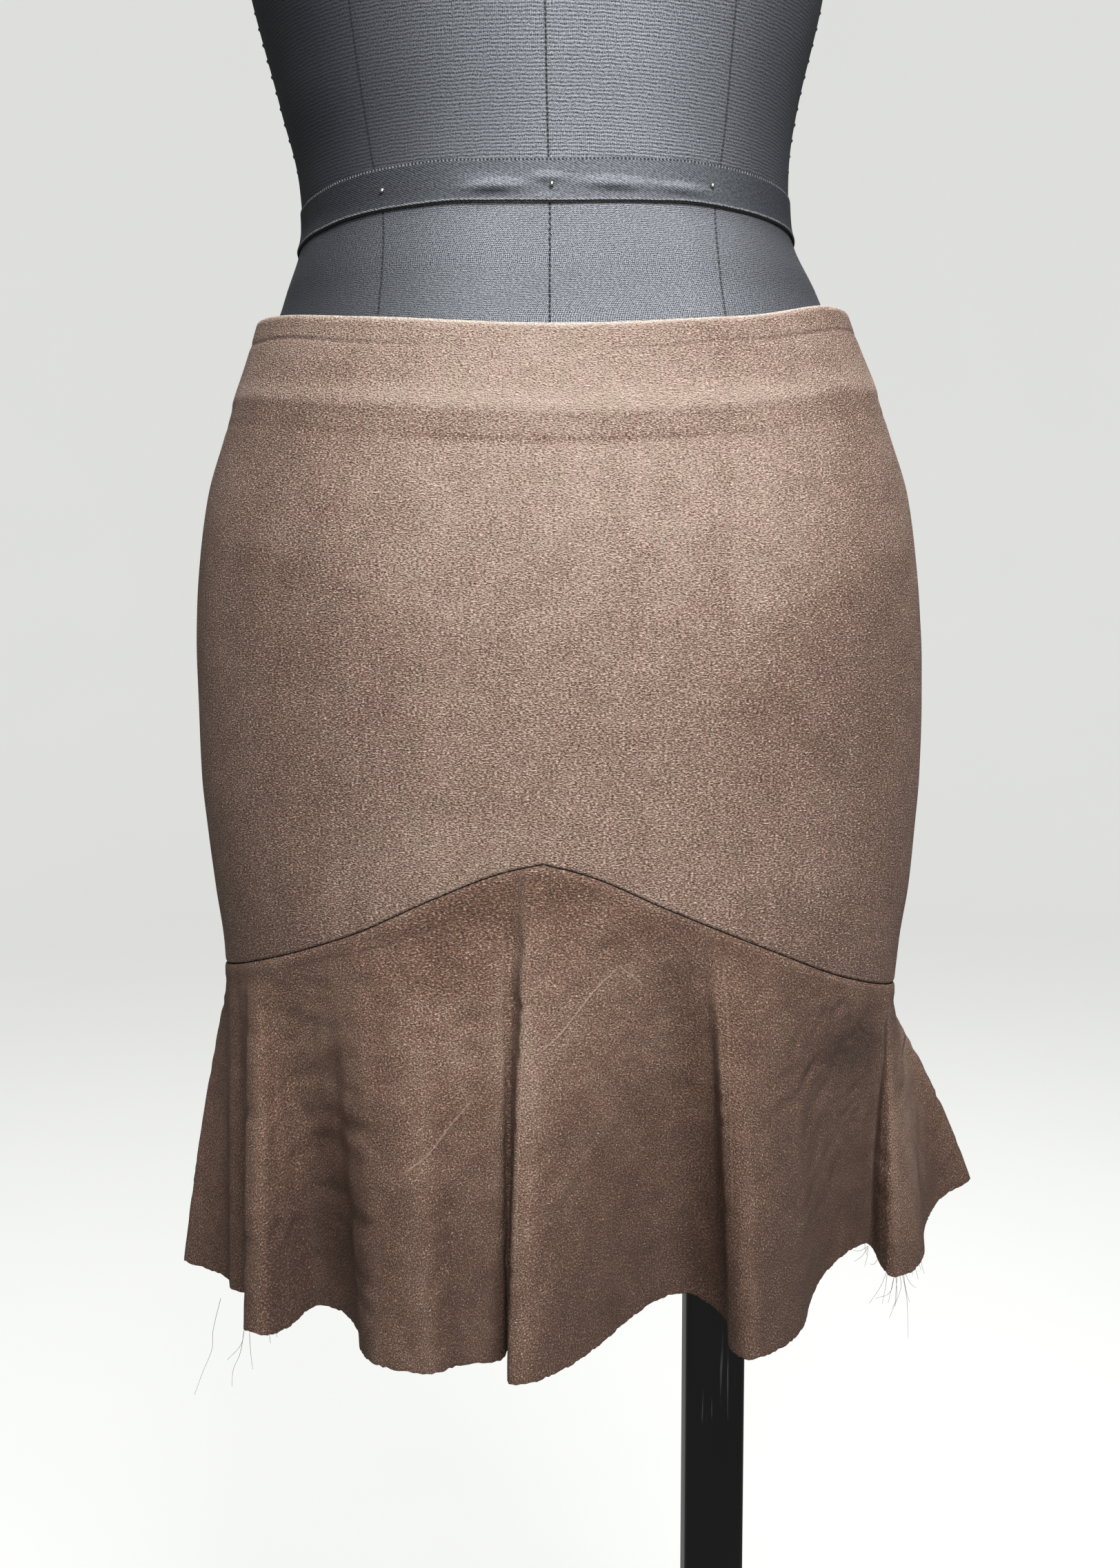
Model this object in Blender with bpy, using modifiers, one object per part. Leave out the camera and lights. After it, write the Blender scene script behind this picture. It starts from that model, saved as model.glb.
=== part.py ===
"""A flounced leather mini skirt on a limbless dress form with a square pole and a flat base.

Metres, +Z up. The front of the skirt faces -Y, and +X is the side that is right as seen
from the front. The origin is on the floor under the middle of the base plate.
A turn is an angle in degrees about the vertical, 0 at the centre front, 90 at +X.
"""
import math

import bmesh
import bpy
import numpy as np
from mathutils import Matrix, Vector

# Cloth and clearances
LEATHER = 0.0015
SEAM_GAP = 0.0005
CLEAR = 0.0003

# Outer face of the leather body, as level sections
SKIRT_SECTIONS = (
    # height, half_width, front_depth, back_depth, centre_x
    (0.660, 0.1658, 0.1092, 0.1212, -0.0002),
    (0.692, 0.1680, 0.1092, 0.1222, 0.0008),
    (0.719, 0.1719, 0.1092, 0.1233, 0.0010),
    (0.747, 0.1748, 0.1092, 0.1248, 0.0006),
    (0.774, 0.1770, 0.1093, 0.1262, 0.0003),
    (0.801, 0.1776, 0.1093, 0.1271, 0.0002),
    (0.828, 0.1777, 0.1092, 0.1271, -0.0003),
    (0.855, 0.1766, 0.1089, 0.1264, -0.0008),
    (0.882, 0.1740, 0.1085, 0.1246, -0.0010),
    (0.908, 0.1699, 0.1074, 0.1212, -0.0010),
    (0.934, 0.1618, 0.1055, 0.1162, -0.0012),
    (0.960, 0.1532, 0.1033, 0.1100, -0.0017),
    (0.986, 0.1441, 0.1008, 0.1030, -0.0027),
    (1.008, 0.1368, 0.0984, 0.0972, -0.0036),
)

# Linen torso of the dress form, as level sections from its hip board to its neck
FORM_SECTIONS = (
    # height, half_width, front_depth, back_depth, centre_x, squareness
    (0.655, 0.1615, 0.0850, 0.1010, 0.0000, 2.2),
    (0.700, 0.1652, 0.0925, 0.1100, 0.0007, 2.2),
    (0.745, 0.1717, 0.0990, 0.1175, 0.0006, 2.2),
    (0.790, 0.1749, 0.1035, 0.1229, 0.0002, 2.2),
    (0.830, 0.1755, 0.1062, 0.1248, -0.0003, 2.2),
    (0.870, 0.1731, 0.1066, 0.1231, -0.0009, 2.2),
    (0.910, 0.1666, 0.1048, 0.1174, -0.0011, 2.2),
    (0.945, 0.1528, 0.1010, 0.1083, -0.0018, 2.2),
    (0.975, 0.1406, 0.0972, 0.0998, -0.0028, 2.2),
    (1.000, 0.1287, 0.0943, 0.0928, -0.0040, 2.2),
    (1.033, 0.1171, 0.0915, 0.0862, -0.0065, 2.2),
    (1.052, 0.1172, 0.0905, 0.0848, -0.0076, 2.2),
    (1.090, 0.1235, 0.0930, 0.0880, -0.0100, 2.2),
    (1.140, 0.1356, 0.1000, 0.0970, -0.0108, 2.2),
    (1.180, 0.1440, 0.1110, 0.1050, -0.0108, 2.2),
    (1.215, 0.1500, 0.1200, 0.1105, -0.0108, 2.2),
    (1.250, 0.1540, 0.1190, 0.1135, -0.0108, 2.3),
    (1.290, 0.1580, 0.1080, 0.1140, -0.0108, 2.6),
    (1.330, 0.1655, 0.0920, 0.1090, -0.0108, 2.8),
    (1.365, 0.1730, 0.0760, 0.0980, -0.0108, 2.8),
    (1.388, 0.1745, 0.0650, 0.0870, -0.0108, 2.6),
    (1.403, 0.1620, 0.0605, 0.0790, -0.0108, 2.4),
    (1.416, 0.1320, 0.0582, 0.0742, -0.0108, 2.3),
    (1.428, 0.1020, 0.0565, 0.0705, -0.0108, 2.2),
    (1.441, 0.0780, 0.0552, 0.0665, -0.0108, 2.1),
    (1.458, 0.0640, 0.0545, 0.0620, -0.0108, 2.0),
    (1.480, 0.0590, 0.0540, 0.0585, -0.0108, 2.0),
    (1.500, 0.0580, 0.0540, 0.0570, -0.0108, 2.0),
)
SKIRT_SQUARENESS = 2.2

# Top edge of the skirt, which dips at the centre front
TOP_EDGE = (
    # turn, height
    (-180.0, 1.0040),
    (-135.0, 0.9990),
    (-90.0, 0.9905),
    (-60.0, 0.9853),
    (-30.0, 0.9776),
    (0.0, 0.9724),
    (30.0, 0.9778),
    (60.0, 0.9899),
    (90.0, 0.9944),
    (135.0, 1.0010),
    (180.0, 1.0040),
)

# Yoke seam between the body and the flounce, a V that points up at the front and the back
FRONT_APEX_TURN = -1.9
SEAM_LINE = (
    # turn from the apex, front left, front right, back left, back right
    (0.0, 0.7413, 0.7413, 0.7430, 0.7430),
    (5.0, 0.7376, 0.7357, 0.7380, 0.7375),
    (15.0, 0.7258, 0.7212, 0.7255, 0.7240),
    (30.0, 0.7077, 0.7033, 0.7080, 0.7050),
    (50.0, 0.6930, 0.6844, 0.6930, 0.6860),
    (70.0, 0.6840, 0.6743, 0.6840, 0.6750),
    (90.0, 0.6790, 0.6690, 0.6790, 0.6690),
)

# Facing edge that shows through the leather below the top edge, as a low rounded step
FACING_DEPTH = 0.041
FACING_STEP = 0.0008
FACING_RAMP = 0.005

# The flounce hangs to a level hem where it hangs straight, and rises where it swings out
HEM_LEVEL = 0.525
FLOUNCE_FOLDS = (
    # fold, seam_turn, hem_x, hem_y
    ("left_flute_back", -94.0, -0.1800, 0.0040),
    ("left_flute", -87.0, -0.1900, -0.0150),
    ("left_flute_front", -81.0, -0.1755, -0.0240),
    ("left_step_wall", -76.0, -0.1640, -0.0340),
    ("left_step", -72.0, -0.1585, -0.0490),
    ("left_step_valley", -66.0, -0.1488, -0.0525),
    ("side_flute_wall", -61.5, -0.1418, -0.0800),
    ("side_flute_edge", -59.5, -0.1403, -0.1085),
    ("side_flute", -56.0, -0.1310, -0.1160),
    ("side_flute_end", -52.0, -0.1232, -0.0930),
    ("wide_valley_left", -47.5, -0.1155, -0.0680),
    ("wide_valley_right", -42.0, -0.1040, -0.0720),
    ("left_panel_wall", -37.5, -0.0926, -0.0920),
    ("left_panel_edge", -34.0, -0.0871, -0.1190),
    ("left_panel_bend", -30.0, -0.0762, -0.1400),
    ("left_panel", -21.5, -0.0552, -0.1470),
    ("left_panel_turn", -16.0, -0.0440, -0.1315),
    ("centre_valley_slope", -11.0, -0.0345, -0.1100),
    ("centre_valley", -7.0, -0.0262, -0.0930),
    ("centre_flute_wall", -5.2, -0.0216, -0.1240),
    ("centre_flute_edge", -4.0, -0.0210, -0.1540),
    ("centre_flute", -2.6, -0.0150, -0.1545),
    ("centre_flute_face", 0.5, 0.0012, -0.1342),
    ("centre_flute_side", 4.5, 0.0170, -0.1085),
    ("centre_flute_end", 9.0, 0.0324, -0.0835),
    ("right_valley_left", 12.5, 0.0471, -0.0675),
    ("right_valley", 15.5, 0.0610, -0.0635),
    ("right_valley_wall", 18.8, 0.0757, -0.0830),
    ("right_panel_edge", 21.0, 0.0753, -0.1130),
    ("right_panel", 24.5, 0.0822, -0.1255),
    ("right_panel_bend", 30.0, 0.0990, -0.1110),
    ("right_panel_turn", 35.5, 0.1110, -0.0900),
    ("right_panel_side", 41.0, 0.1187, -0.0640),
    ("deep_valley_left", 47.0, 0.1290, -0.0400),
    ("deep_valley", 57.0, 0.1482, -0.0150),
    ("deep_valley_right", 64.0, 0.1580, -0.0080),
    ("right_flute_wall", 68.5, 0.1602, -0.0200),
    ("right_flute_edge", 71.5, 0.1640, -0.0325),
    ("right_flute", 76.0, 0.1730, -0.0290),
    ("right_flute_end", 81.0, 0.1845, -0.0110),
    ("right_step", 87.0, 0.1925, 0.0200),
    ("back_right_flute_front", 96.0, 0.2090, 0.0500),
    ("back_right_flute", 103.0, 0.2270, 0.0600),
    ("back_right_flute_end", 110.0, 0.2010, 0.0760),
    ("valley_a", 119.0, 0.1500, 0.0790),
    ("flute_a_front", 128.0, 0.1465, 0.1180),
    ("flute_a", 134.0, 0.1480, 0.1500),
    ("flute_a_end", 140.0, 0.1190, 0.1480),
    ("valley_b", 148.0, 0.0850, 0.1140),
    ("flute_b_front", 158.0, 0.0700, 0.1500),
    ("flute_b", 164.0, 0.0530, 0.1760),
    ("flute_b_end", 170.0, 0.0290, 0.1540),
    ("back_valley", 179.5, 0.0040, 0.1180),
    ("flute_c_front", 187.0, -0.0150, 0.1480),
    ("flute_c", 193.0, -0.0370, 0.1730),
    ("flute_c_end", 199.0, -0.0560, 0.1480),
    ("valley_c", 207.0, -0.0780, 0.1130),
    ("flute_d_front", 216.0, -0.1020, 0.1400),
    ("flute_d", 222.0, -0.1290, 0.1560),
    ("flute_d_end", 228.0, -0.1370, 0.1260),
    ("valley_d", 237.0, -0.1410, 0.0870),
    ("flute_e_front", 246.0, -0.1780, 0.0900),
    ("flute_e", 252.0, -0.2060, 0.0800),
    ("flute_e_end", 258.0, -0.1930, 0.0480),
)
# Share of the way out to the hem against the share of the way down the flounce
FLARE_START = 0.06
FLARE_BOW = 0.30

# Mesh spacing
BODY_COLUMNS = 84
BODY_ROWS = 11
FLOUNCE_COLUMN_STEP = 0.0098
FLOUNCE_DOWN = (0.0, 0.08, 0.20, 0.36, 0.55, 0.77, 1.0)
FORM_COLUMNS = 48

# Side and back seams, as turns
LEFT_SIDE = -90.0
RIGHT_SIDE = 90.0
BACK = 180.0

# Waist tape on the form
TAPE_WIDTH = 0.018
TAPE_THICK = 0.0006
TAPE_HEIGHT = 1.0333
TAPE_TILT = 0.018

# Concealed zip at the centre back: slider with a bail, and a pull tab on it
SLIDER_DROP = 0.013
SLIDER_WIDTH = 0.0076
SLIDER_THICK = 0.0022
SLIDER_LENGTH = 0.0100
BAIL_RADIUS = 0.0007
BAIL_REACH = 0.0029
BAIL_HALF = 0.0036
PULL_AXIS_OUT = 0.0012
PULL_AXIS_DOWN = 0.0018
PULL_THICK = 0.0010
PULL_EYE_WIDTH = 0.0030
PULL_EYE_LENGTH = 0.0056
PULL_ARM = 0.0012
PULL_LENGTH = 0.0240
PULL_LEAN = math.radians(5.8)
PULL_OUTLINE = (
    # share of the half width, share of the length
    (1.00, 0.317),
    (0.72, 0.620),
    (0.92, 0.917),
    (0.60, 1.000),
)

# Stand: hip board, flange, square pole, foot collar and base plate
BOARD_THICK = 0.012
BOARD_INSET = 0.006
POLE_X = 0.079
POLE_SIDE = 0.030
FLANGE_SIDE = (0.086, 0.086)
FLANGE_THICK = 0.005
COLLAR_SIDE = 0.044
COLLAR_HEIGHT = 0.055
BASE_SIDES = (0.480, 0.420)
BASE_THICK = 0.010
BASE_CORNER = 0.035
CAP_RADIUS = 0.050
CAP_THICK = 0.016

# Colours as linear red, green, blue
NUBUCK = (0.330, 0.215, 0.150)
NUBUCK_DARK = (0.245, 0.155, 0.108)
LINEN = (0.060, 0.063, 0.070)
TAPE_GREY = (0.185, 0.195, 0.210)
BLACK_GLOSS = (0.010, 0.010, 0.011)
BLACK_BOARD = (0.030, 0.030, 0.031)
ZIP_METAL = (0.300, 0.240, 0.170)


def clear_scene():
    """Take every object out of the scene."""
    for item in list(bpy.data.objects):
        bpy.data.objects.remove(item, do_unlink=True)


def material(name, colour, roughness, metallic=0.0):
    """A Principled material of one colour."""
    made = bpy.data.materials.new(name)
    made.use_nodes = True
    shader = made.node_tree.nodes["Principled BSDF"]
    shader.inputs["Base Color"].default_value = (*colour, 1.0)
    shader.inputs["Roughness"].default_value = roughness
    shader.inputs["Metallic"].default_value = metallic
    return made


def add_object(name, mesh, collection, finish):
    """An object of the part, in its collection and with its material."""
    made = bpy.data.objects.new(name, mesh)
    mesh.materials.clear()
    mesh.materials.append(finish)
    collection.objects.link(made)
    return made


def shade_round(mesh, sharp_degrees=40.0):
    """Smooth shading with the sharp edges kept."""
    mesh.shade_smooth()
    mesh.set_sharp_from_angle(angle=math.radians(sharp_degrees))


def through(places, values, at):
    """A cubic curve through a table's values that does not overshoot between them."""
    places = np.asarray(places, float)
    values = np.asarray(values, float)
    steps = np.diff(places)
    rises = np.diff(values) / steps
    same_way = rises[:-1] * rises[1:] > 0.0
    safe = np.where(same_way, rises[:-1] + rises[1:], 1.0)
    inner = np.where(same_way, 2.0 * rises[:-1] * rises[1:] / safe, 0.0)
    slopes = np.concatenate([rises[:1], inner, rises[-1:]])
    at = np.clip(at, places[0], places[-1])
    left = np.clip(np.searchsorted(places, at, side="right") - 1, 0, len(steps) - 1)
    width = steps[left]
    share = (at - places[left]) / width
    back = 1.0 - share
    return (
        values[left] * (1.0 + 2.0 * share) * back**2
        + slopes[left] * width * share * back**2
        + values[left + 1] * (3.0 - 2.0 * share) * share**2
        - slopes[left + 1] * width * back * share**2
    )


def column(table, index):
    """One named column of a table, as an array."""
    return np.array([row[index] for row in table], float)


def wrapped(turn):
    """A turn brought into -180 to 180 degrees."""
    return (np.asarray(turn, float) + 180.0) % 360.0 - 180.0


def section_point(sections, turn, height, squareness, outward=0.0):
    """A point of a level section: a rounded oval with its own front and back depths."""
    heights = column(sections, 0)
    half_width = through(heights, column(sections, 1), height) + outward
    front = through(heights, column(sections, 2), height) + outward
    back = through(heights, column(sections, 3), height) + outward
    centre = through(heights, column(sections, 4), height)
    angle = np.radians(turn)
    across = np.sin(angle)
    along = -np.cos(angle)
    power = 2.0 / squareness
    x = centre + half_width * np.sign(across) * np.abs(across) ** power
    depth = np.where(along < 0.0, front, back)
    y = depth * np.sign(along) * np.abs(along) ** power
    return np.stack(np.broadcast_arrays(x, y, height), axis=-1)


def top_height(turn):
    """Height of the skirt's top edge."""
    return through(column(TOP_EDGE, 0), column(TOP_EDGE, 1), wrapped(turn))


def seam_height(turn):
    """Height of the yoke seam, with a sharp apex at the centre front and centre back."""
    turn = wrapped(turn)
    from_front = np.abs(turn - FRONT_APEX_TURN)
    side = np.where(turn < FRONT_APEX_TURN, LEFT_SIDE, RIGHT_SIDE)
    front_share = from_front / np.abs(side - FRONT_APEX_TURN) * 90.0
    back_share = 180.0 - np.abs(turn)
    turns = column(SEAM_LINE, 0)
    in_front = np.abs(turn) < 90.0
    left = turn < FRONT_APEX_TURN
    heights = [
        through(turns, column(SEAM_LINE, 1), front_share),
        through(turns, column(SEAM_LINE, 2), front_share),
        through(turns, column(SEAM_LINE, 3), back_share),
        through(turns, column(SEAM_LINE, 4), back_share),
    ]
    return np.select(
        [in_front & left, in_front, turn < 0.0], [heights[0], heights[1], heights[2]], heights[3]
    )


def body_grid():
    """Turns, and rows of points down the outer face of the leather body, all the way round."""
    even = np.linspace(LEFT_SIDE, LEFT_SIDE + 360.0, BODY_COLUMNS + 1)[:-1]
    turns = np.union1d(even, [FRONT_APEX_TURN])
    top = top_height(turns)
    low = seam_height(turns) + SEAM_GAP / 2.0
    facing_rows = (
        (0.0, 0.0),
        (0.5 * FACING_DEPTH, 0.0),
        (FACING_DEPTH - FACING_RAMP, 0.0),
        (FACING_DEPTH, FACING_STEP),
        (FACING_DEPTH + FACING_RAMP, 0.0),
    )
    rows = [(top - drop, outward) for drop, outward in facing_rows]
    start = rows[-1][0]
    rest = BODY_ROWS - len(rows) + 1
    for share in np.linspace(0.0, 1.0, rest + 1)[1:]:
        rows.append((start + (low - start) * share, 0.0))
    points = [
        section_point(SKIRT_SECTIONS, turns, height, SKIRT_SQUARENESS, outward)
        for height, outward in rows
    ]
    return turns, np.array(points)


def hem_columns():
    """Seam turns and hem places of the flounce's columns, evenly spaced along the hem."""
    turns = column(FLOUNCE_FOLDS, 1)
    places = np.stack([column(FLOUNCE_FOLDS, 2), column(FLOUNCE_FOLDS, 3)], axis=1)
    count = len(turns)
    made = []
    for index in range(count):
        corner = places[[(index + offset) % count for offset in (-1, 0, 1, 2)]]
        after = (index + 1) % count
        angle = (turns[index], turns[after] + 360.0 * (after == 0))
        steps = max(2, round(np.linalg.norm(corner[2] - corner[1]) / FLOUNCE_COLUMN_STEP))
        for share in np.arange(steps) / steps:
            turn = angle[0] + share * (angle[1] - angle[0])
            made.append([turn, *rounded(corner, share)])
    return np.array(made)


def rounded(corner, share):
    """A point of the round curve through four bends, at a share of its middle stretch."""
    knots = np.concatenate(
        [[0.0], np.cumsum(np.linalg.norm(np.diff(corner, axis=0), axis=1) ** 0.5)]
    )
    at = knots[1] + share * (knots[2] - knots[1])

    def mix(low, high, first, last):
        span = knots[last] - knots[first]
        return (knots[last] - at) / span * low + (at - knots[first]) / span * high

    one, two, three = (mix(corner[i], corner[i + 1], i, i + 1) for i in range(3))
    return mix(mix(one, two, 0, 2), mix(two, three, 1, 3), 1, 2)


def flounce_grid(body_turns, body_edge):
    """Turns, and rows of points down the outer face of the flounce, all the way round.

    The top row follows the body's lower edge, a seam's gap below it. A column keeps the
    length that it has where the leather hangs straight, so it rises as it swings out.
    """
    columns = hem_columns()
    turns = columns[:, 0]
    hem = columns[:, 1:]
    seam = np.column_stack(
        [np.interp(turns, body_turns, axis, period=360.0) for axis in body_edge.T]
    )
    seam[:, 2] -= SEAM_GAP
    swing = hem - seam[:, :2]
    length = seam[:, 2] - HEM_LEVEL
    drop = np.sqrt(length**2 - (swing**2).sum(axis=1))
    rows = []
    for down in FLOUNCE_DOWN:
        share = max(0.0, (down - FLARE_START) / (1.0 - FLARE_START))
        out = share * (1.0 + FLARE_BOW * (1.0 - share))
        row = seam.copy()
        row[:, :2] += swing * out
        row[:, 2] -= drop * down
        rows.append(row)
    return turns, np.array(rows)


def panel(turns, grid, start, end):
    """The part of a ring of points between two turns, trimmed by half a seam at each end."""
    turns = np.concatenate([turns, turns + 360.0])
    grid = np.concatenate([grid, grid], axis=1)
    closest = 0.4
    inside = np.flatnonzero((turns > start + closest) & (turns < end - closest))
    made = [edge_column(turns, grid, start)]
    made += [grid[:, index] for index in inside]
    made.append(edge_column(turns, grid, end))
    made = np.stack(made, axis=1)
    for edge, neighbour in ((0, 1), (-1, -2)):
        along = made[:, neighbour] - made[:, edge]
        length = np.linalg.norm(along, axis=1, keepdims=True)
        made[:, edge] += along / length * SEAM_GAP / 2.0
    return made


def edge_column(turns, grid, at):
    """The column of points at one turn, between the two columns on its sides."""
    after = int(np.searchsorted(turns, at))
    before = after - 1
    share = (at - turns[before]) / (turns[after] - turns[before])
    return grid[:, before] * (1.0 - share) + grid[:, after] * share


def sheet_mesh(name, grid, closed):
    """A mesh of quads over a grid whose rows run down and whose columns run to +X in front."""
    rows, columns = grid.shape[:2]
    across = columns if closed else columns - 1
    faces = []
    for row in range(rows - 1):
        for start in range(across):
            end = (start + 1) % columns
            faces.append(
                (
                    row * columns + start,
                    (row + 1) * columns + start,
                    (row + 1) * columns + end,
                    row * columns + end,
                )
            )
    mesh = bpy.data.meshes.new(name)
    mesh.from_pydata(grid.reshape(-1, 3).tolist(), [], faces)
    mesh.update()
    return mesh


def wall(name, grid, collection, finish, thick=LEATHER, closed=False):
    """Cloth of one thickness whose outer face lies on a grid of points."""
    mesh = sheet_mesh(name, grid, closed)
    made = add_object(name, mesh, collection, finish)
    solidify = made.modifiers.new("Thickness", "SOLIDIFY")
    solidify.thickness = thick
    solidify.offset = -1.0
    shade_round(mesh)
    return made


def loft(name, rings, collection, finish):
    """A solid through level rings from top to bottom, closed flat at both ends."""
    grid = np.array(rings)
    columns = grid.shape[1]
    mesh = sheet_mesh(name, grid, closed=True)
    shape = bmesh.new()
    shape.from_mesh(mesh)
    shape.verts.ensure_lookup_table()
    shape.faces.new([shape.verts[index] for index in range(columns)])
    last = (grid.shape[0] - 1) * columns
    shape.faces.new([shape.verts[last + index] for index in reversed(range(columns))])
    bmesh.ops.recalc_face_normals(shape, faces=shape.faces)
    shape.to_mesh(mesh)
    shape.free()
    shade_round(mesh)
    return add_object(name, mesh, collection, finish)


def block(name, sides, centre, collection, finish, bevel, corner=0.0):
    """A box with broken edges, and with round upright corners if asked."""
    mesh = bpy.data.meshes.new(name)
    shape = bmesh.new()
    bmesh.ops.create_cube(shape, size=1.0)
    bmesh.ops.scale(shape, vec=Vector(sides), verts=shape.verts)
    if corner:
        upright = [e for e in shape.edges if abs(e.verts[0].co.z - e.verts[1].co.z) > sides[2] / 2.0]
        bmesh.ops.bevel(
            shape, geom=upright, offset=corner, segments=6, profile=0.5, affect="EDGES"
        )
    shape.to_mesh(mesh)
    shape.free()
    made = add_object(name, mesh, collection, finish)
    made.location = centre
    broken = made.modifiers.new("Broken edges", "BEVEL")
    broken.width = bevel
    broken.segments = 2
    broken.limit_method = "ANGLE"
    broken.angle_limit = math.radians(60.0)
    return made


def cut(target, cutter, operation="DIFFERENCE"):
    """A Boolean of one object by another, which is kept as a guide."""
    step = target.modifiers.new(operation.title(), "BOOLEAN")
    step.operation = operation
    step.solver = "EXACT"
    step.object = cutter


def guide(made, collection):
    """Move an object to the guides, out of the render."""
    for owner in list(made.users_collection):
        owner.objects.unlink(made)
    collection.objects.link(made)
    made.hide_render = True
    made.display_type = "WIRE"


def build_skirt(collection):
    """Three body panels and three flounce panels, with side seams and a centre-back seam."""
    body = material("body leather", NUBUCK, 0.75)
    flounce = material("flounce leather", NUBUCK_DARK, 0.78)
    body_turns, body_points = body_grid()
    flounce_turns, flounce_points = flounce_grid(body_turns, body_points[-1])
    spans = (
        ("front", LEFT_SIDE, RIGHT_SIDE),
        ("back_right", RIGHT_SIDE, BACK),
        ("back_left", BACK, LEFT_SIDE + 360.0),
    )
    for side, start, end in spans:
        wall(f"skirt_{side}", panel(body_turns, body_points, start, end), collection, body)
        wall(
            f"flounce_{side}",
            panel(flounce_turns, flounce_points, start, end),
            collection,
            flounce,
        )


def build_form(collection):
    """The linen torso, its waist tape and its neck cap."""
    turns = np.linspace(-180.0, 180.0, FORM_COLUMNS + 1)[:-1]
    rings = np.array(
        [section_point(FORM_SECTIONS, turns, row[0], row[5]) for row in reversed(FORM_SECTIONS)]
    )
    loft("form_torso", rings, collection, material("form linen", LINEN, 0.9))
    tape = material("waist tape", TAPE_GREY, 0.85)
    grid = tape_grid(turns, rings)
    wall("form_waist_tape", grid, collection, tape, TAPE_THICK, closed=True)
    build_neck_cap(collection)


def tape_grid(turns, rings):
    """Rows of the tape's outer face, made from the torso's points moved out.

    The middle row lies on a ring of the torso, where its side bends in at the waist.
    """
    heights = column(FORM_SECTIONS, 0)
    waist = heights[np.argmin(np.abs(heights - TAPE_HEIGHT))]
    upward = rings[::-1]
    tilt = TAPE_TILT * rings[-1, :, 0]
    half = TAPE_WIDTH / 2.0
    rows = []
    for height in (TAPE_HEIGHT + half + tilt, np.full(len(turns), waist), TAPE_HEIGHT - half + tilt):
        upper = np.searchsorted(heights, height)
        share = ((height - heights[upper - 1]) / (heights[upper] - heights[upper - 1]))[:, None]
        index = np.arange(len(turns))
        row = upward[upper - 1, index] * (1.0 - share) + upward[upper, index] * share
        square = FORM_SECTIONS[0][5]
        outer = section_point(FORM_SECTIONS, turns, height, square, CLEAR + TAPE_THICK)
        rows.append(row + outer - section_point(FORM_SECTIONS, turns, height, square))
    return np.array(rows)


def build_neck_cap(collection):
    """A turned cap on the neck, with a rounded rim."""
    neck = FORM_SECTIONS[-1]
    low = neck[0] + CLEAR
    rim = 0.004
    profile = [(0.0, low + CAP_THICK), (0.6 * CAP_RADIUS, low + CAP_THICK - 0.001)]
    for step in range(5):
        angle = math.radians(90.0 - 22.5 * step)
        radius = CAP_RADIUS - rim + rim * math.cos(angle)
        profile.append((radius, low + CAP_THICK - 2.0 * rim + rim * math.sin(angle)))
    profile += [(CAP_RADIUS, low), (0.0, low)]
    mesh = bpy.data.meshes.new("form_neck_cap")
    points = [(radius, 0.0, height) for radius, height in profile]
    edges = [(index, index + 1) for index in range(len(points) - 1)]
    mesh.from_pydata(points, edges, [])
    made = add_object("form_neck_cap", mesh, collection, material("neck cap", BLACK_BOARD, 0.4))
    made.location = (neck[4], 0.0, 0.0)
    screw = made.modifiers.new("Turned", "SCREW")
    screw.steps = 32
    screw.render_steps = 32
    screw.use_merge_vertices = True
    screw.merge_threshold = 0.0001
    screw.use_smooth_shade = True


def build_stand(collection, guides):
    """Hip board, flange, square pole, foot collar and base plate."""
    board = material("hip board", BLACK_BOARD, 0.6)
    gloss = material("black gloss enamel", BLACK_GLOSS, 0.12)
    bottom = FORM_SECTIONS[0][0]
    board_top = bottom - CLEAR
    board_low = board_top - BOARD_THICK
    turns = np.linspace(-180.0, 180.0, FORM_COLUMNS + 1)[:-1]
    outline = section_point(
        FORM_SECTIONS, turns, np.full(len(turns), bottom), FORM_SECTIONS[0][5], -BOARD_INSET
    )
    rings = []
    for height in (board_top, board_low):
        ring = outline.copy()
        ring[:, 2] = height
        rings.append(ring)
    loft("form_hip_board", rings, collection, board)

    flange_top = board_low - CLEAR
    flange_low = flange_top - FLANGE_THICK
    block(
        "stand_flange",
        (*FLANGE_SIDE, FLANGE_THICK),
        (POLE_X, 0.0, (flange_top + flange_low) / 2.0),
        collection,
        gloss,
        bevel=0.0008,
        corner=0.010,
    )
    pole_top = flange_low - CLEAR
    pole_low = BASE_THICK + CLEAR
    block(
        "stand_pole",
        (POLE_SIDE, POLE_SIDE, pole_top - pole_low),
        (POLE_X, 0.0, (pole_top + pole_low) / 2.0),
        collection,
        gloss,
        bevel=0.0005,
        corner=0.0020,
    )
    collar = block(
        "stand_collar",
        (COLLAR_SIDE, COLLAR_SIDE, COLLAR_HEIGHT),
        (POLE_X, 0.0, BASE_THICK + CLEAR + COLLAR_HEIGHT / 2.0),
        collection,
        gloss,
        bevel=0.0008,
        corner=0.0040,
    )
    bore = block(
        "collar_bore",
        (POLE_SIDE + 2.0 * CLEAR, POLE_SIDE + 2.0 * CLEAR, COLLAR_HEIGHT * 1.5),
        collar.location,
        collection,
        gloss,
        bevel=0.0002,
        corner=0.0018,
    )
    guide(bore, guides)
    cut(collar, bore)
    block(
        "stand_base",
        (*BASE_SIDES, BASE_THICK),
        (0.0, 0.0, BASE_THICK / 2.0),
        collection,
        gloss,
        bevel=0.0015,
        corner=BASE_CORNER,
    )


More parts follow.
